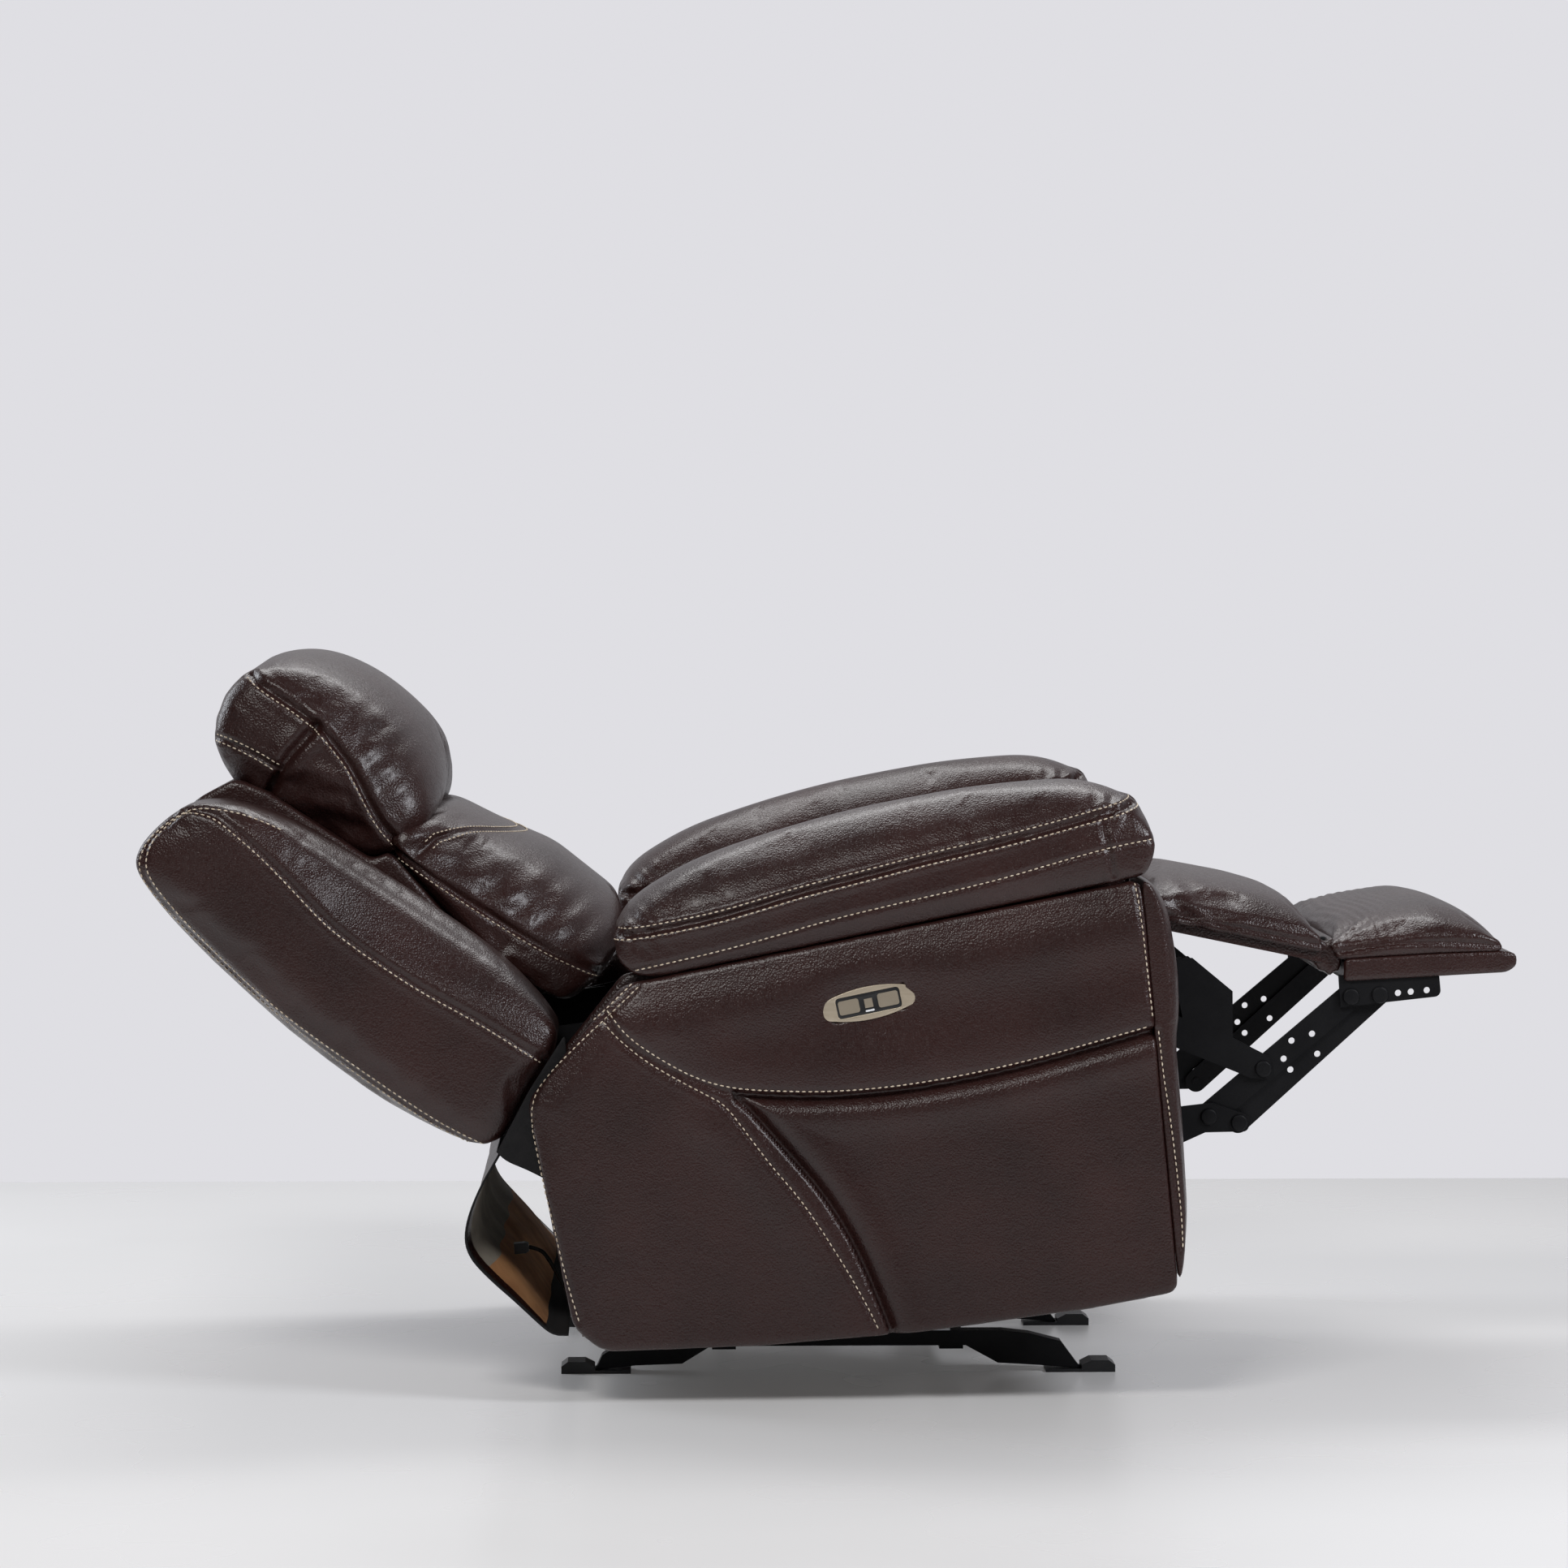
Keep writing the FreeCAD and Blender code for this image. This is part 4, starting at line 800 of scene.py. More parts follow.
swell(head, 0.020, pressure=4.0)

# %% Sew the head cushion
head_seam, head_short, head_pleat = smooth_line(HEAD_SEAM), smooth_line(HEAD_SHORT), smooth_line(HEAD_PLEAT)
head_seams = ((head_seam, 0.0060, 0.0048), (head_short, 0.003, 0.004), (head_pleat, 0.009, 0.0060))
for face in (-1, 1):
    for line, depth, width in head_seams:
        sink(head, chalk(head, line, face)[0], depth, width, depth * 0.3)
print("head cushion sewn with", len(head_seams), "seams at each end")

# %% Fold the head cushion
x, y, z = points_of(head).T
ahead = x - np.interp(z, head_seam[::-1, 1], head_seam[::-1, 0])
outside = step(np.abs(y), 0.13, 0.25)
puckers = wave(z, 0.030, ahead * 14) * step(ahead, 0.004, 0.03) * fade(ahead, 0.05) * hump(z, 0.885, 0.07)
lower_folds = wave(x * 0.8 + z * 0.6, 0.038) * step(-ahead, 0.005, 0.03) * hump(z, 0.88, 0.06)
top_folds = wave(x, 0.024) * hump(z, 1.055, 0.022)
raise_skin(head, outside * (0.0022 * puckers + 0.0020 * lower_folds + 0.0004 * top_folds))
head_lines = (head_seam - (0.007, 0), head_short + (0.005, 0), head_short - (0.005, 0))
rows = [chalk(head, line, -1) for line in head_lines]
upholster(head, BACK, "back", "headrest", fill=0.75)
stitch("head_stitching", rows + mirrored(rows), BACK, "back")

# %% [markdown]
# ## The back cushion
# The cushion behind the sitter's back is deep in the middle and falls away to a seam at each side. It is
# softly filled, so its skin lies in slack folds that run in from the side seams.

# %% Shape the back cushion
CUSHION_OUTLINE = [(-301, 806), (-258, 820), (-224, 800), (-203, 741), (-183, 698), (-164, 660),
                   (-158, 625), (-150, 580), (-142, 545), (-160, 506), (-253, 506), (-301, 600)]
CUSHION_SEAM = [(-297, 792), (-289, 757), (-278, 713), (-261, 650), (-250, 612), (-237, 574), (-217, 526),
                (-208, 508)]
cushion = block("back_cushion_cover", soften(CUSHION_OUTLINE, 34), -287, 287, end_bevel=0.02)
remesh(cushion, 0.0062)
crown(cushion, 0, lambda p: -0.292, 0.0, 0.292, 0.12, 2.4)
swell(cushion, 0.010, held=lambda p: p[:, 0] < -0.290)

# %% Sew the back cushion
def cross_height(y):
    """the cross seam, lowest in the middle and rising towards the ends"""
    return 0.704 + 0.066 * np.clip(np.abs(y) / 0.26, 0, 1) ** 1.8


cushion_seam = smooth_line(CUSHION_SEAM)
for face in (-1, 1):
    sink(cushion, chalk(cushion, cushion_seam, face)[0], 0.004, 0.0045, 0.0014)
print("cross seam", cross_height(0), "m up in the middle")

# %% Crease the back cushion
x, y, z = points_of(cushion).T
ahead = x - np.interp(z, cushion_seam[::-1, 1], cushion_seam[::-1, 0])
outside = step(np.abs(y), 0.10, 0.24)
slack = wave(z, 0.041, ahead * 22 + 1.2 * np.sin(z * 31)) * step(ahead, 0.004, 0.03) * fade(ahead, 0.07)
across = 0.0040 * hump(z, cross_height(y), 0.0040) * step(x, -0.29, -0.27)
raise_skin(cushion, outside * 0.0024 * slack - across)
rows = [chalk(cushion, cushion_seam - (0.006, 0), -1)]
cross_rows = [chalk_front(cushion, -0.272, 0.272, lambda y: cross_height(y) + beside)
              for beside in (-0.0065, 0.0065)]
upholster(cushion, BACK, "back", "back_cushion", fill=0.55)
stitch("cushion_stitching", rows + mirrored(rows) + cross_rows, BACK, "back")

# %% [markdown]
# ## The wings
# The sides of the back are leather over a curved board, with a padded front edge. One seam parts the flat
# face from the padded edge, and a bound edge with two rows of thread follows the back of it.

# %% Shape the wings
WING_OUTLINE = [(-540, 991), (-500, 1008), (-424, 1003), (-369, 929), (-315, 740), (-278, 604), (-276, 520),
                (-285, 493), (-436, 438), (-470, 500), (-494, 567), (-527, 720), (-540, 885)]
WING_SEAM = [(-440, 995), (-430, 988), (-417, 969), (-412, 943), (-406, 900), (-404, 865), (-403, 829),
             (-402, 787), (-395, 745), (-383, 697), (-370, 649), (-354, 605), (-339, 561), (-323, 504),
             (-318, 484)]
WING_EDGE = [(-440, 995), (-467, 1000), (-500, 999), (-527, 982), (-534, 953), (-536, 906), (-534, 860),
             (-531, 813), (-525, 764), (-516, 713), (-505, 664), (-492, 610), (-478, 555), (-462, 500),
             (-440, 450)]
wing = block("wing_cover_right", soften(WING_OUTLINE, 40), -466, -306, end_bevel=0.016)
remesh(wing, 0.0062)
wing_seam, wing_edge = smooth_line(WING_SEAM), smooth_line(WING_EDGE)
points = points_of(wing)
ahead = points[:, 0] - np.interp(points[:, 2], wing_seam[::-1, 1], wing_seam[::-1, 0])
turn_in = np.clip(ahead / 0.085, 0, 1)
points[:, 1] += 0.045 * turn_in ** 2.2 * step(-points[:, 1], 0.32, 0.46)
put_points(wing, points)
swell(wing, 0.008, held=lambda p: p[:, 1] > -0.312)

# %% Sew the wings
for line, depth in ((wing_seam, 0.0030), (wing_edge, 0.0016)):
    sink(wing, chalk(wing, line, -1)[0], depth, 0.004, depth * 0.4)
wing_top = smooth_line([(-448, 997), (-428, 990), (-402, 962), (-384, 932), (-370, 900)])
wing_lines = (wing_seam - (0.005, 0), wing_edge + (0.0045, -0.002), wing_edge - (0.004, -0.001), wing_top)
rows = [chalk(wing, line, -1) for line in wing_lines]
wing_left = twin(wing, "wing_cover_left")
upholster(wing, BACK, "back", "wing_right", fill=0.85)
upholster(wing_left, BACK, "back", "wing_left", fill=0.85)
stitch("wing_stitching_right", rows, BACK, "back")
stitch("wing_stitching_left", mirrored(rows), BACK, "back")

# %% [markdown]
# ## The seat, the calf pad and the footrest pad
# The three pads that carry the legs follow each other. They are domed across the chair and sewn at their
# sides, low down. The footrest's pad has a fan of fine creases across it where it folds.

# %% The seat cushion
SEAT_OUTLINE = [(-118, 484), (390, 530), (400, 538), (421, 548), (421, 576), (397, 594), (247, 588),
                (50, 568), (-80, 542), (-118, 520)]
seat_pad = block("seat_cushion_cover", soften(SEAT_OUTLINE, 14), -296, 296, end_bevel=0.010)
remesh(seat_pad, 0.0072)
crown(seat_pad, 2, lambda p: 0.484 + (p[:, 0] + 0.112) * 0.09, 0.0, 0.298, 0.55, 3.2)
swell(seat_pad, 0.008, held=lambda p: p[:, 2] < 0.490 + (p[:, 0] + 0.112) * 0.09)
points = points_of(seat_pad)
points[:, 2] -= 0.006 * hump(np.abs(points[:, 1]), 0.225, 0.0045) * step(points[:, 2], 0.50, 0.52)
put_points(seat_pad, points)
surface, down, places = surface_of(seat_pad), Vector((0, 0, -1)), np.arange(-0.08, 0.40, CHALK_STEP)
rows = [row_of([surface.ray_cast(Vector((x, -0.219, RAY_START)), down) for x in places])]
upholster(seat_pad, SEAT, "seat_unit", "seat_cushion", fill=0.7)
stitch("seat_stitching", rows + mirrored(rows), SEAT, "seat_unit")

# %% The calf pad
CALF_OUTLINE = [(447, 530), (436, 550), (434, 576), (448, 583), (480, 579), (560, 556), (620, 533),
                (641, 508), (643, 471), (540, 502)]
CALF_SEAM = [(442, 540), (448, 538), (491, 527), (533, 515), (575, 502), (617, 488), (636, 482)]
calf = block("calf_pad_cover", soften(CALF_OUTLINE, 10), -284, 284, end_bevel=0.008)
remesh(calf, 0.0052)


def calf_floor(points):
    """the height of the board under the pad"""
    return 0.532 - (points[:, 0] - 0.447) * 0.30


crown(calf, 2, calf_floor, 0.0, 0.288, 0.30, 2.6)
swell(calf, 0.006, held=lambda p: p[:, 2] < calf_floor(p) + 0.004)
calf_seam = smooth_line(CALF_SEAM)
for face in (-1, 1):
    sink(calf, chalk(calf, calf_seam, face)[0], 0.0025, 0.004, 0.001)
x, y, z = points_of(calf).T
crumple = wave(x + (z - 0.5) * 0.7, 0.034) * hump(x, 0.475, 0.04)
raise_skin(calf, step(np.abs(y), 0.14, 0.26) * 0.0013 * crumple)
upholster(calf, SEAT, "calf_unit", "calf_pad", fill=0.6)

# %% The footrest pad
FOOT_OUTLINE = [(662, 460), (651, 482), (652, 497), (700, 507), (786, 515), (838, 499), (864, 472),
                (866, 452), (770, 457)]
FOOT_SEAM = [(649, 469), (686, 472), (720, 475), (770, 473), (819, 467), (862, 459)]
foot_pad = block("footrest_pad_cover", soften(FOOT_OUTLINE, 12), -284, 284, end_bevel=0.008)
remesh(foot_pad, 0.0052)
crown(foot_pad, 2, lambda p: 0.462 - (p[:, 0] - 0.668) * 0.05, 0.0, 0.288, 0.28, 2.8)
swell(foot_pad, 0.006, held=lambda p: p[:, 2] < 0.468 - (p[:, 0] - 0.668) * 0.05)
foot_seam = smooth_line(FOOT_SEAM)
for face in (-1, 1):
    sink(foot_pad, chalk(foot_pad, foot_seam, face)[0], 0.0025, 0.0038, 0.001)
x, y, z = points_of(foot_pad).T
fan = wave(x - 0.06 * np.abs(y), 0.0125, 2 * np.sin(y * 9)) * hump(x, 0.70, 0.055)
raise_skin(foot_pad, 0.0006 * fan * step(normals_of(foot_pad)[:, 2], 0.4, 0.9))
upholster(foot_pad, SEAT, "footrest", "footrest_pad", fill=0.7)

# %% The leather-wrapped board under the footrest pad
BOARD_OUTLINE = [(664, 433), (668, 461), (790, 457), (868, 452), (882, 447), (881, 432), (868, 425)]
board = block("footrest_board_cover", soften(BOARD_OUTLINE, 6), -284, 284, end_bevel=0.004)
remesh(board, 0.0048)
upholster(board, SEAT, "footrest", "footrest_board", fill=0.9)

# %% [markdown]
# Where the calf pad meets the footrest pad, a fold of leather joins their covers.

# %% The fold between calf pad and footrest pad
FOLD_OUTLINE = [(618, 476), (634, 492), (646, 490), (660, 486), (668, 466), (662, 446), (648, 440),
                (628, 458)]
fold = block("knee_fold", soften(FOLD_OUTLINE, 8), -272, 272, end_bevel=0.005)
remesh(fold, 0.005)
finish_modifier(fold, "SUBSURF", levels=1, render_levels=1)
points = points_of(fold)
valley = distance_to(np.array([(0.646, 0.500), (0.645, 0.480)]), points[:, 0], points[:, 2])
points[:, 2] -= 0.006 * hump(valley, 0, 0.006) * step(points[:, 2], 0.47, 0.485)
points[:, 2] += 0.0012 * np.sin(points[:, 0] * 520 + np.sin(points[:, 1] * 12))
put_points(fold, points)
carry(fold, SEAT, leather)
bpy.ops.object.shade_smooth()
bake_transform(fold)
print("knee fold", len(fold.data.polygons), "faces")

# %% [markdown]
# ## The back's rear cover
# From behind, the back is closed by a leather sheet over webbing, pulled tight between the wings.

# %% The rear cover
REAR_OUTLINE = [(-540, 985), (-500, 1004), (-494, 990), (-524, 978), (-524, 885), (-512, 720), (-480, 567),
                (-456, 500), (-422, 443), (-436, 438), (-470, 500), (-494, 567), (-527, 720), (-540, 885)]
rear = block("rear_cover_skin", soften(REAR_OUTLINE, 6, 3), -300, 300, end_bevel=0)
remesh(rear, 0.006)
points = points_of(rear)
points[:, 0] += 0.004 * hump(points[:, 1], 0, 0.004)
put_points(rear, points)
upholster(rear, BACK, "back", "rear_cover", fill=0.9)

# %% [markdown]
# The board behind the cushions is wrapped in the same leather, which also turns over the top of the back.

# %% The wrapped board behind the cushions
DECK_OUTLINE = [(-303, 556), (-303, 797), (-326, 803), (-367, 955), (-386, 990), (-430, 1001), (-500, 1003),
                (-498, 986), (-440, 984), (-420, 700), (-345, 556)]
deck = block("back_deck_cover", soften(DECK_OUTLINE, 10, 3), -303, 303, end_bevel=0.003)
remesh(deck, 0.006)
upholster(deck, BACK, "back", "back_filling", fill=0.8)

# %% [markdown]
# ## The boards inside the arms
# The inside of each arm, and the short wall behind it, are thin boards covered with leather. The two boards
# of a pair are joined into one piece.

# %% The boards inside the arms
INNER_BOARD = [(407, 120), (407, 597), (-226, 531), (-350, 402), (-323, 127), (-303, 112)]
REAR_BOARD = [(-323, 127), (-350, 372), (-337, 372), (-309, 127)]


def board_pair(name, outline, low_y, high_y, node):
    """a right board and its twin, joined into one piece"""
    board = block(name, soften(outline, 8, 3), low_y, high_y, end_bevel=0.004)
    remesh(board, 0.009)
    other = twin(board, name + "_other")
    pick(board)
    other.select_set(True)
    bpy.ops.object.join()
    upholster(board, SEAT, "seat_unit", node, fill=0.9)


board_pair("inner_arm_covers", INNER_BOARD, -328, -311, "inner_panels")
board_pair("rear_arm_covers", REAR_BOARD, -481, -329, "arm_rear_panels")

# %% [markdown]
# ## Leather and cloth between the seat and the back
# Three thin pieces run straight across the chair and differ only in the line that they follow from front to
# back. Each starts as a flat grid, its rows are laid along the line, and Solidify gives it its thickness.

# %% A sheet across the chair
def lay_sheet(name, line, half_width, columns):
    """a grid along a line, with each point's place across (-1 to 1) and its row along the line"""
    bpy.ops.object.select_all(action="DESELECT")
    bpy.ops.mesh.primitive_grid_add(x_subdivisions=columns, y_subdivisions=len(line) - 1, size=2)
    sheet = bpy.context.object
    sheet.name = sheet.data.name = name
    points = points_of(sheet)
    across, row = points[:, 0].copy(), (1 - points[:, 1]) / 2 * (len(line) - 1)
    points[:, 0] = np.interp(row, np.arange(len(line)), line[:, 0])
    points[:, 1] = across * half_width
    points[:, 2] = np.interp(row, np.arange(len(line)), line[:, 1])
    print(name, "laid with", columns, "columns and", len(line) - 1, "rows")
    return sheet, points, across, row


# %% [markdown]
# Where the back meets the seat, a loose strip of thin leather closes the gap, so that nothing falls into the
# springs. It is sewn to both.

# %% The strip between seat and back
BRIDGE_LINE = [(-104, 522), (-124, 521), (-155, 522), (-190, 532), (-222, 552)]
bridge_line = smooth_line(BRIDGE_LINE, 0.006)
bridge, points, across, row = lay_sheet("seat_back_bridge", bridge_line, 0.300, 50)
points[:, 2] += 0.002 * np.sin(across * 15) * np.sin(row / len(bridge_line) * math.pi)
put_points(bridge, points)
finish_modifier(bridge, "SOLIDIFY", thickness=0.0024, offset=0)
carry(bridge, SEAT, leather)
bpy.ops.object.shade_smooth()
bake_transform(bridge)

# %% [markdown]
# ## The flap behind the seat
# A flap hangs behind the chair, from the back to the base rail, like a hammock. Its outside is the chair's
# leather, its inside is lined, and a strip of black hook-and-loop runs along its lower edge.

# %% Hang the flap
FLAP_LINE = [(-392, 338), (-425, 290), (-443, 246), (-440, 217), (-418, 188), (-390, 158), (-368, 132),
             (-350, 112), (-331, 110)]
flap_line = smooth_line(FLAP_LINE, 0.006)
flap, points, across, row = lay_sheet("rear_flap_cloth", flap_line, 0.44, 87)
down = row / (len(flap_line) - 1)
belly = (1 - step(np.abs(across), 0.80, 1.0)) * np.sin(np.clip((down - 0.15) / 0.75, 0, 1) * math.pi)
points[:, 0] += 0.014 * belly + 0.0022 * np.sin(across * 14) * np.sin(down * math.pi)
points[:, 2] += 0.008 * belly
put_points(flap, points)
finish_modifier(flap, "SOLIDIFY", thickness=0.0026, offset=0)
carry(flap, SEAT, leather)

# %% [markdown]
# One skin of the flap faces the chair, and that one is lined with tan suede, with a leather hem at both ends.
# Its upper part, which lies in shade, is painted grey as painted shade. The grid's own map tells how far
# across and how far down each face lies.

# %% Line the flap
LEATHER, SHADED_SUEDE, TAN, BLACK = range(4)
SHADE_ENDS, STRIP_STARTS, HEM, BINDING = 0.56, 0.885, 0.030, 0.014
for finish in (shaded_suede_lining, finishes["lining_cloth"], finishes["black_cloth"]):
    flap.data.materials.append(finish)
flap_map = flap.data.uv_layers.active.data
into_seat = SEAT.inverted().to_3x3()
for polygon in flap.data.polygons:
    corners = [flap_map[loop].uv for loop in polygon.loop_indices]
    along, sunk = sum(uv.x for uv in corners) / len(corners), 1 - sum(uv.y for uv in corners) / len(corners)
    from_end = min(along, 1 - along)
    facing = into_seat @ polygon.normal
    if facing.x + facing.z > 0 and from_end >= HEM:
        # painted shade: the lining's upper part gets the grey shaded copy of the suede, the lower part the
        # tan suede itself
        polygon.material_index = SHADED_SUEDE if sunk < SHADE_ENDS else TAN
    if sunk > STRIP_STARTS or from_end < BINDING:
        polygon.material_index = BLACK
pick(flap)
bpy.ops.object.shade_smooth()
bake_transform(flap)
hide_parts("rear_flap")
print("flap", len(flap.data.polygons), "faces")

# %% [markdown]
# Between each end of the back and the side panel, a black cloth gusset closes the gap. It is a small
# triangle of cloth, sewn to both.

# %% The gussets
GUSSET_OUTLINE = [(-300, 476), (-350, 412), (-395, 343), (-384, 330), (-362, 318), (-332, 302), (-326, 380),
                  (-300, 440)]
for side_name, middle_y in (("right", -466), ("left", 466)):
    outline = soften(GUSSET_OUTLINE, 6, 3)
    gusset = block("gusset_" + side_name, outline, middle_y - 1.5, middle_y + 1.5, end_bevel=0)
    remesh(gusset, 0.003)
    carry(gusset, SEAT, finishes["black_cloth"])
    bpy.ops.object.shade_smooth()
    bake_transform(gusset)

# %% [markdown]
# A narrow dust cover of the same cloth hangs between the gussets, above the flap.

# %% The dust cover
HEM_LINE = [(-395, 343), (-384, 328), (-362, 316), (-338, 303)]
hem_line = smooth_line(HEM_LINE, 0.005)
dust_cover, points, across, row = lay_sheet("rear_dust_cover", hem_line, 0.464, 60)
points[:, 2] += 0.003 * np.sin(across * 17) * np.sin(row / len(hem_line) * math.pi)
put_points(dust_cover, points)
finish_modifier(dust_cover, "SOLIDIFY", thickness=0.002, offset=0)
carry(dust_cover, SEAT, finishes["black_cloth"])
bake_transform(dust_cover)

# %% [markdown]
# ## The switch
# A warm metal plate, shaped like a lens with blunt ends, sits in the side panel. A black frame fills its
# window, with two hollow keys, a small key between them and a short pale light bar.

# %% The switch plate
PLATE_SLOPE, CREASE = math.radians(6.3), math.radians(35)
SWITCH = SEAT @ Matrix.Translation((SWITCH_PLACE[0], 0, SWITCH_PLACE[1])) @ lean(PLATE_SLOPE)


def rectangle(middle, half, tall):
    """a rectangle with its middle on the switch's centre line"""
    return [(middle - half, -tall), (middle + half, -tall), (middle + half, tall), (middle - half, tall)]


def cut_through(piece, outline):
    """cuts a window through a plate"""
    cutter = block("cutter", outline, -510, -490, end_bevel=0)
    finish_modifier(piece, "BOOLEAN", operation="DIFFERENCE", solver="EXACT", object=cutter)
    bpy.data.objects.remove(cutter)


lens = [(u, 20.0 - 7.5 * (u / 50) ** 2) for u in range(-48, 49, 12)]
lower_lens = [(-u, -v) for u, v in lens]
plate_corners = [(-56, 7), *lens, (56, 7), (57, -6), (52, -12), *lower_lens, (-52, -12), (-57, -6)]
plate = block("switch_plate_cover", soften(plate_corners, 6, 3), -503, -499.5, end_bevel=0)
cut_through(plate, soften(rectangle(0, 39, 12.5), 5, 4))
round_edges(plate, 0.0009, 3, 45)
carry(plate, SWITCH, finishes["champagne_metal"])
bpy.ops.object.shade_smooth_by_angle(angle=CREASE)
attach(plate, "seat_unit")
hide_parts("switch_plate")
print("switch plate", len(plate.data.polygons), "faces")

# %% The black frame in the plate
KEY_HOLES = ((-23.5, 11.6, 7.6), (23.5, 11.6, 7.6), (0, 5.4, 5.4))
surround = block("switch_frame", soften(rectangle(0, 39, 12.4), 5, 4), -502.2, -500.4, end_bevel=0)
for middle, half, tall in KEY_HOLES:
    cut_through(surround, soften(rectangle(middle, half, tall), 2.5, 3))
round_edges(surround, 0.0005, 2, 45)
carry(surround, SWITCH, finishes["black_plastic"])
bpy.ops.object.shade_smooth_by_angle(angle=CREASE)
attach(surround, "seat_unit")
print("switch frame with", len(KEY_HOLES), "key holes")

# %% The light bar
LIGHT_DARK, LIGHT_PALE = (0.80, 0.82, 0.85), (0.92, 0.93, 0.95)
light_finish, nodes, links, shader, place = new_finish("pale_light_bar")
pale = ramp(nodes, links, noise(nodes, links, place, 300, 1), [(0.3, LIGHT_DARK), (0.7, LIGHT_PALE)])
links.new(pale, shader.inputs["Base Color"])
shader.inputs["Roughness"].default_value = 0.35
bar_outline = soften([(-5.5, -10.2), (5.5, -10.2), (5.5, -8.0), (-5.5, -8.0)], 1.0, 3)
bar = block("switch_light", bar_outline, -502.7, -501.5, end_bevel=0.0003)
carry(bar, SWITCH, light_finish)
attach(bar, "seat_unit")
print("light bar", len(bar.data.polygons), "faces")

# %% [markdown]
# ## Finishes for the hard parts
# The steel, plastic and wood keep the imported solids, whose shapes are right. Each gets its own finish. Two
# wooden boards, the one under the calf pad and the one across the front of the seat, are wrapped in leather.

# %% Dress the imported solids
WRAPPED_BOARDS = ("calf_board", "seat_front_rail")
for name, solid in frame["nodes"].items():
    if solid.hide_render:
        continue
    for holder in solid.material_slots:
        holder.material = leather if name in WRAPPED_BOARDS else finishes[holder.material.name.split(".")[0]]
print("dressed", sum(not solid.hide_render for solid in frame["nodes"].values()), "solids")

# %% [markdown]
# ## Rivets
# The links of the footrest turn on domed steel rivets. One rivet is turned from a short cylinder, with its
# edge bevelled, and copied to each pivot. A ray shot from outside finds the outermost link at the pivot.

# %% How far out the links reach
LINKS = ("rear_links", "drive_links", "long_links", "guide_links", "footrest_brackets", "calf_board")
PROBES, PROBE_RADIUS, PROBE_START, NEAREST_LINK = 8, 0.0095, 0.6, 0.2
surfaces = [surface_of(frame["nodes"][name]) for name in LINKS]


def link_face(middle, way):
    """how far from the middle plane the outermost link at a pivot is, or None where there is none"""
    levels = []
    for number in range(PROBES):
        angle = number * 2 * math.pi / PROBES
        probe = middle + Vector((math.cos(angle), 0, math.sin(angle))) * PROBE_RADIUS
        probe.y = way * PROBE_START
        hits = [surface.ray_cast(probe, Vector((0, -way, 0)))[0] for surface in surfaces]
        levels += [abs(hit.y) for hit in hits if hit is not None and abs(hit.y) > NEAREST_LINK]
    return max(levels, default=None)


# %% Rivets
RIVETS = [((250, 410), "seat_unit"), ((321, 456), "seat_unit"), ((482, 281), "long_link"),
          ((519, 270), "guide_link"), ((555, 334), "long_link"), ((672, 413), "footrest"),
          ((708, 412), "footrest"), ((646, 478), "calf_unit")]
RIVET_RADIUS, RIVET_HEIGHT, RIVET_ROUNDING = 0.0105, 0.0036, 0.0022
for number, ((x, z), body) in enumerate(RIVETS):
    for side_name, way in (("right", -1), ("left", 1)):
        middle = SEAT @ Vector((x / 1000, 0, z / 1000))
        level = link_face(middle, way)
        if level is None:
            continue
        bpy.ops.object.select_all(action="DESELECT")
        bpy.ops.mesh.primitive_cylinder_add(vertices=20, radius=RIVET_RADIUS, depth=RIVET_HEIGHT * 2,
                                            location=(middle.x, way * level, middle.z),
                                            rotation=(math.pi / 2, 0, 0))
        rivet = bpy.context.object
        rivet.name = rivet.data.name = "rivet_%d_%s" % (number, side_name)
        bpy.ops.object.transform_apply(location=True, rotation=True, scale=True)
        round_edges(rivet, RIVET_ROUNDING, 3, 50)
        rivet.data.materials.append(finishes["black_steel"])
        bpy.ops.object.shade_smooth()
        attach(rivet, body)
print("rivets set at", len(RIVETS), "pivots")

# %% [markdown]
# ## Floor and light
# The chair stands on a plain pale floor. The floor glows very slightly, which keeps it pale in the chair's
# shadow. It reaches further towards the camera than behind the chair, where the wall begins.

# %% Floor
bpy.ops.object.select_all(action="DESELECT")
bpy.ops.mesh.primitive_plane_add(size=2, location=(0, 0, 0))
floor = bpy.context.object
floor.name = "floor"
FLOOR_HALF_LENGTH, FLOOR_HALF_DEPTH, FLOOR_MIDDLE = 7.0, 4.45, -2.55
put_points(floor, points_of(floor) * (FLOOR_HALF_LENGTH, FLOOR_HALF_DEPTH, 1) + (0, FLOOR_MIDDLE, 0))
floor_finish, nodes, links, shader, place = new_finish("pale_floor")
shader.inputs["Base Color"].default_value = (0.88, 0.875, 0.87, 1)
shader.inputs["Emission Color"].default_value = (1, 0.99, 0.98, 1)
shader.inputs["Emission Strength"].default_value = 0.06
links.new(grey(nodes, links, noise(nodes, links, place, 3, 2), 0.26, 0.28), shader.inputs["Roughness"])
floor.data.materials.append(floor_finish)
print("floor", 2 * FLOOR_HALF_LENGTH, "by", 2 * FLOOR_HALF_DEPTH, "m")

# %% [markdown]
# Four wide lamps give soft light: one overhead, one behind the back, one in front of the footrest, and a key
# lamp high up on the camera's side.

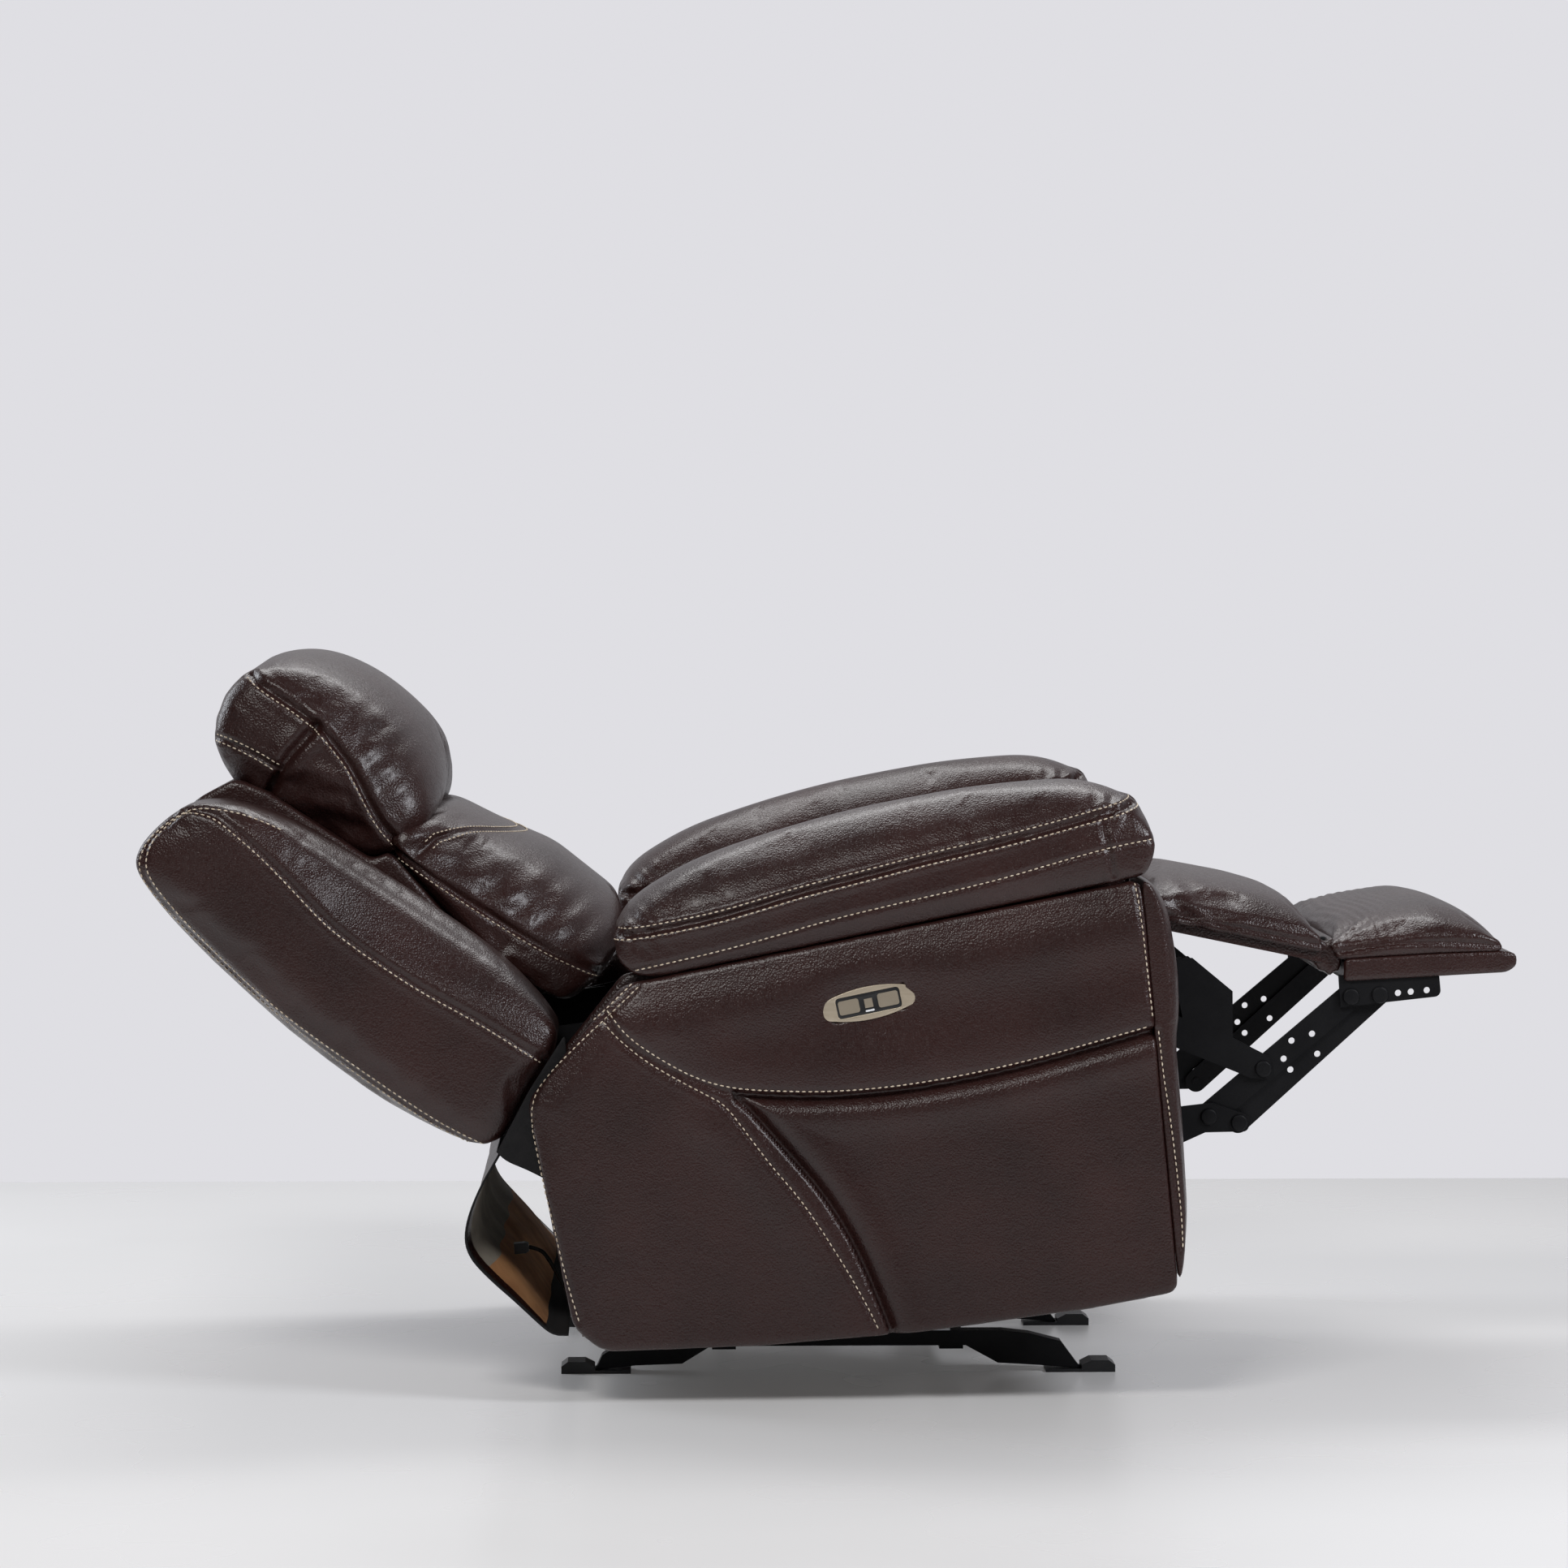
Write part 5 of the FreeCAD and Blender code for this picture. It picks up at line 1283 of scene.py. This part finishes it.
# %% Lights
def lamp(name, place, aim, size, power, colour):
    """a rectangular lamp at a place, aimed at a point, with its size in metres and its power in watts"""
    bpy.ops.object.select_all(action="DESELECT")
    turn = (Vector(aim) - Vector(place)).to_track_quat("-Z", "Y").to_euler()
    bpy.ops.object.light_add(type="AREA", location=place, rotation=turn)
    light = bpy.context.object
    light.name = name
    light.data.shape, light.data.size, light.data.size_y = "RECTANGLE", size[0], size[1]
    light.data.energy, light.data.color = power, colour
    print(name, power, "W")


lamp("lamp_overhead", (-0.1, 1.6, 3.0), (0, 0, 0.4), (2.6, 0.8), 42, (1.0, 1.0, 1.0))
lamp("lamp_rear_left", (-3.2, 1.0, 2.0), (0, 0, 0.6), (1.2, 2.0), 55, (0.90, 0.94, 1.0))
lamp("lamp_front_right", (2.6, -1.9, 2.3), (-0.1, 0, 0.6), (0.9, 0.9), 62, (0.93, 0.95, 1.0))
lamp("lamp_key", (-1.2, -3.4, 3.4), (-0.1, 0, 0.4), (1.4, 1.0), 75, (1.0, 0.98, 0.96))

# %% [markdown]
# The room is a plain backdrop, brighter beyond the chair than behind the camera. A Light Path node lets the
# camera see it paler than the light that it sheds, so the wall is pale and the leather still keeps its depth.

# %% The room
SHED_LIGHT, SEEN_LIGHT, BEHIND, BEYOND = (0.06, 0.50), (0.40, 0.87), -0.10, 0.80
world = bpy.data.worlds.new("room")
bpy.context.scene.world = world
world.use_nodes = True
nodes, links = world.node_tree.nodes, world.node_tree.links
nodes.clear()
room = nodes.new("ShaderNodeBackground")
out = nodes.new("ShaderNodeOutputWorld")
links.new(room.outputs[0], out.inputs[0])
room.inputs["Color"].default_value = (0.85, 0.845, 0.885, 1)
direction = nodes.new("ShaderNodeTexCoord").outputs["Generated"]
split = nodes.new("ShaderNodeSeparateXYZ")
links.new(direction, split.inputs[0])
seen = nodes.new("ShaderNodeMix")
links.new(nodes.new("ShaderNodeLightPath").outputs["Is Camera Ray"], seen.inputs["Factor"])
for strengths, socket in ((SHED_LIGHT, "A"), (SEEN_LIGHT, "B")):
    links.new(grey(nodes, links, split.outputs["Y"], *strengths, BEHIND, BEYOND), seen.inputs[socket])
links.new(seen.outputs["Result"], room.inputs["Strength"])
bpy.context.scene.view_settings.view_transform = "Standard"
print("room sheds", SHED_LIGHT, "and shows", SEEN_LIGHT)
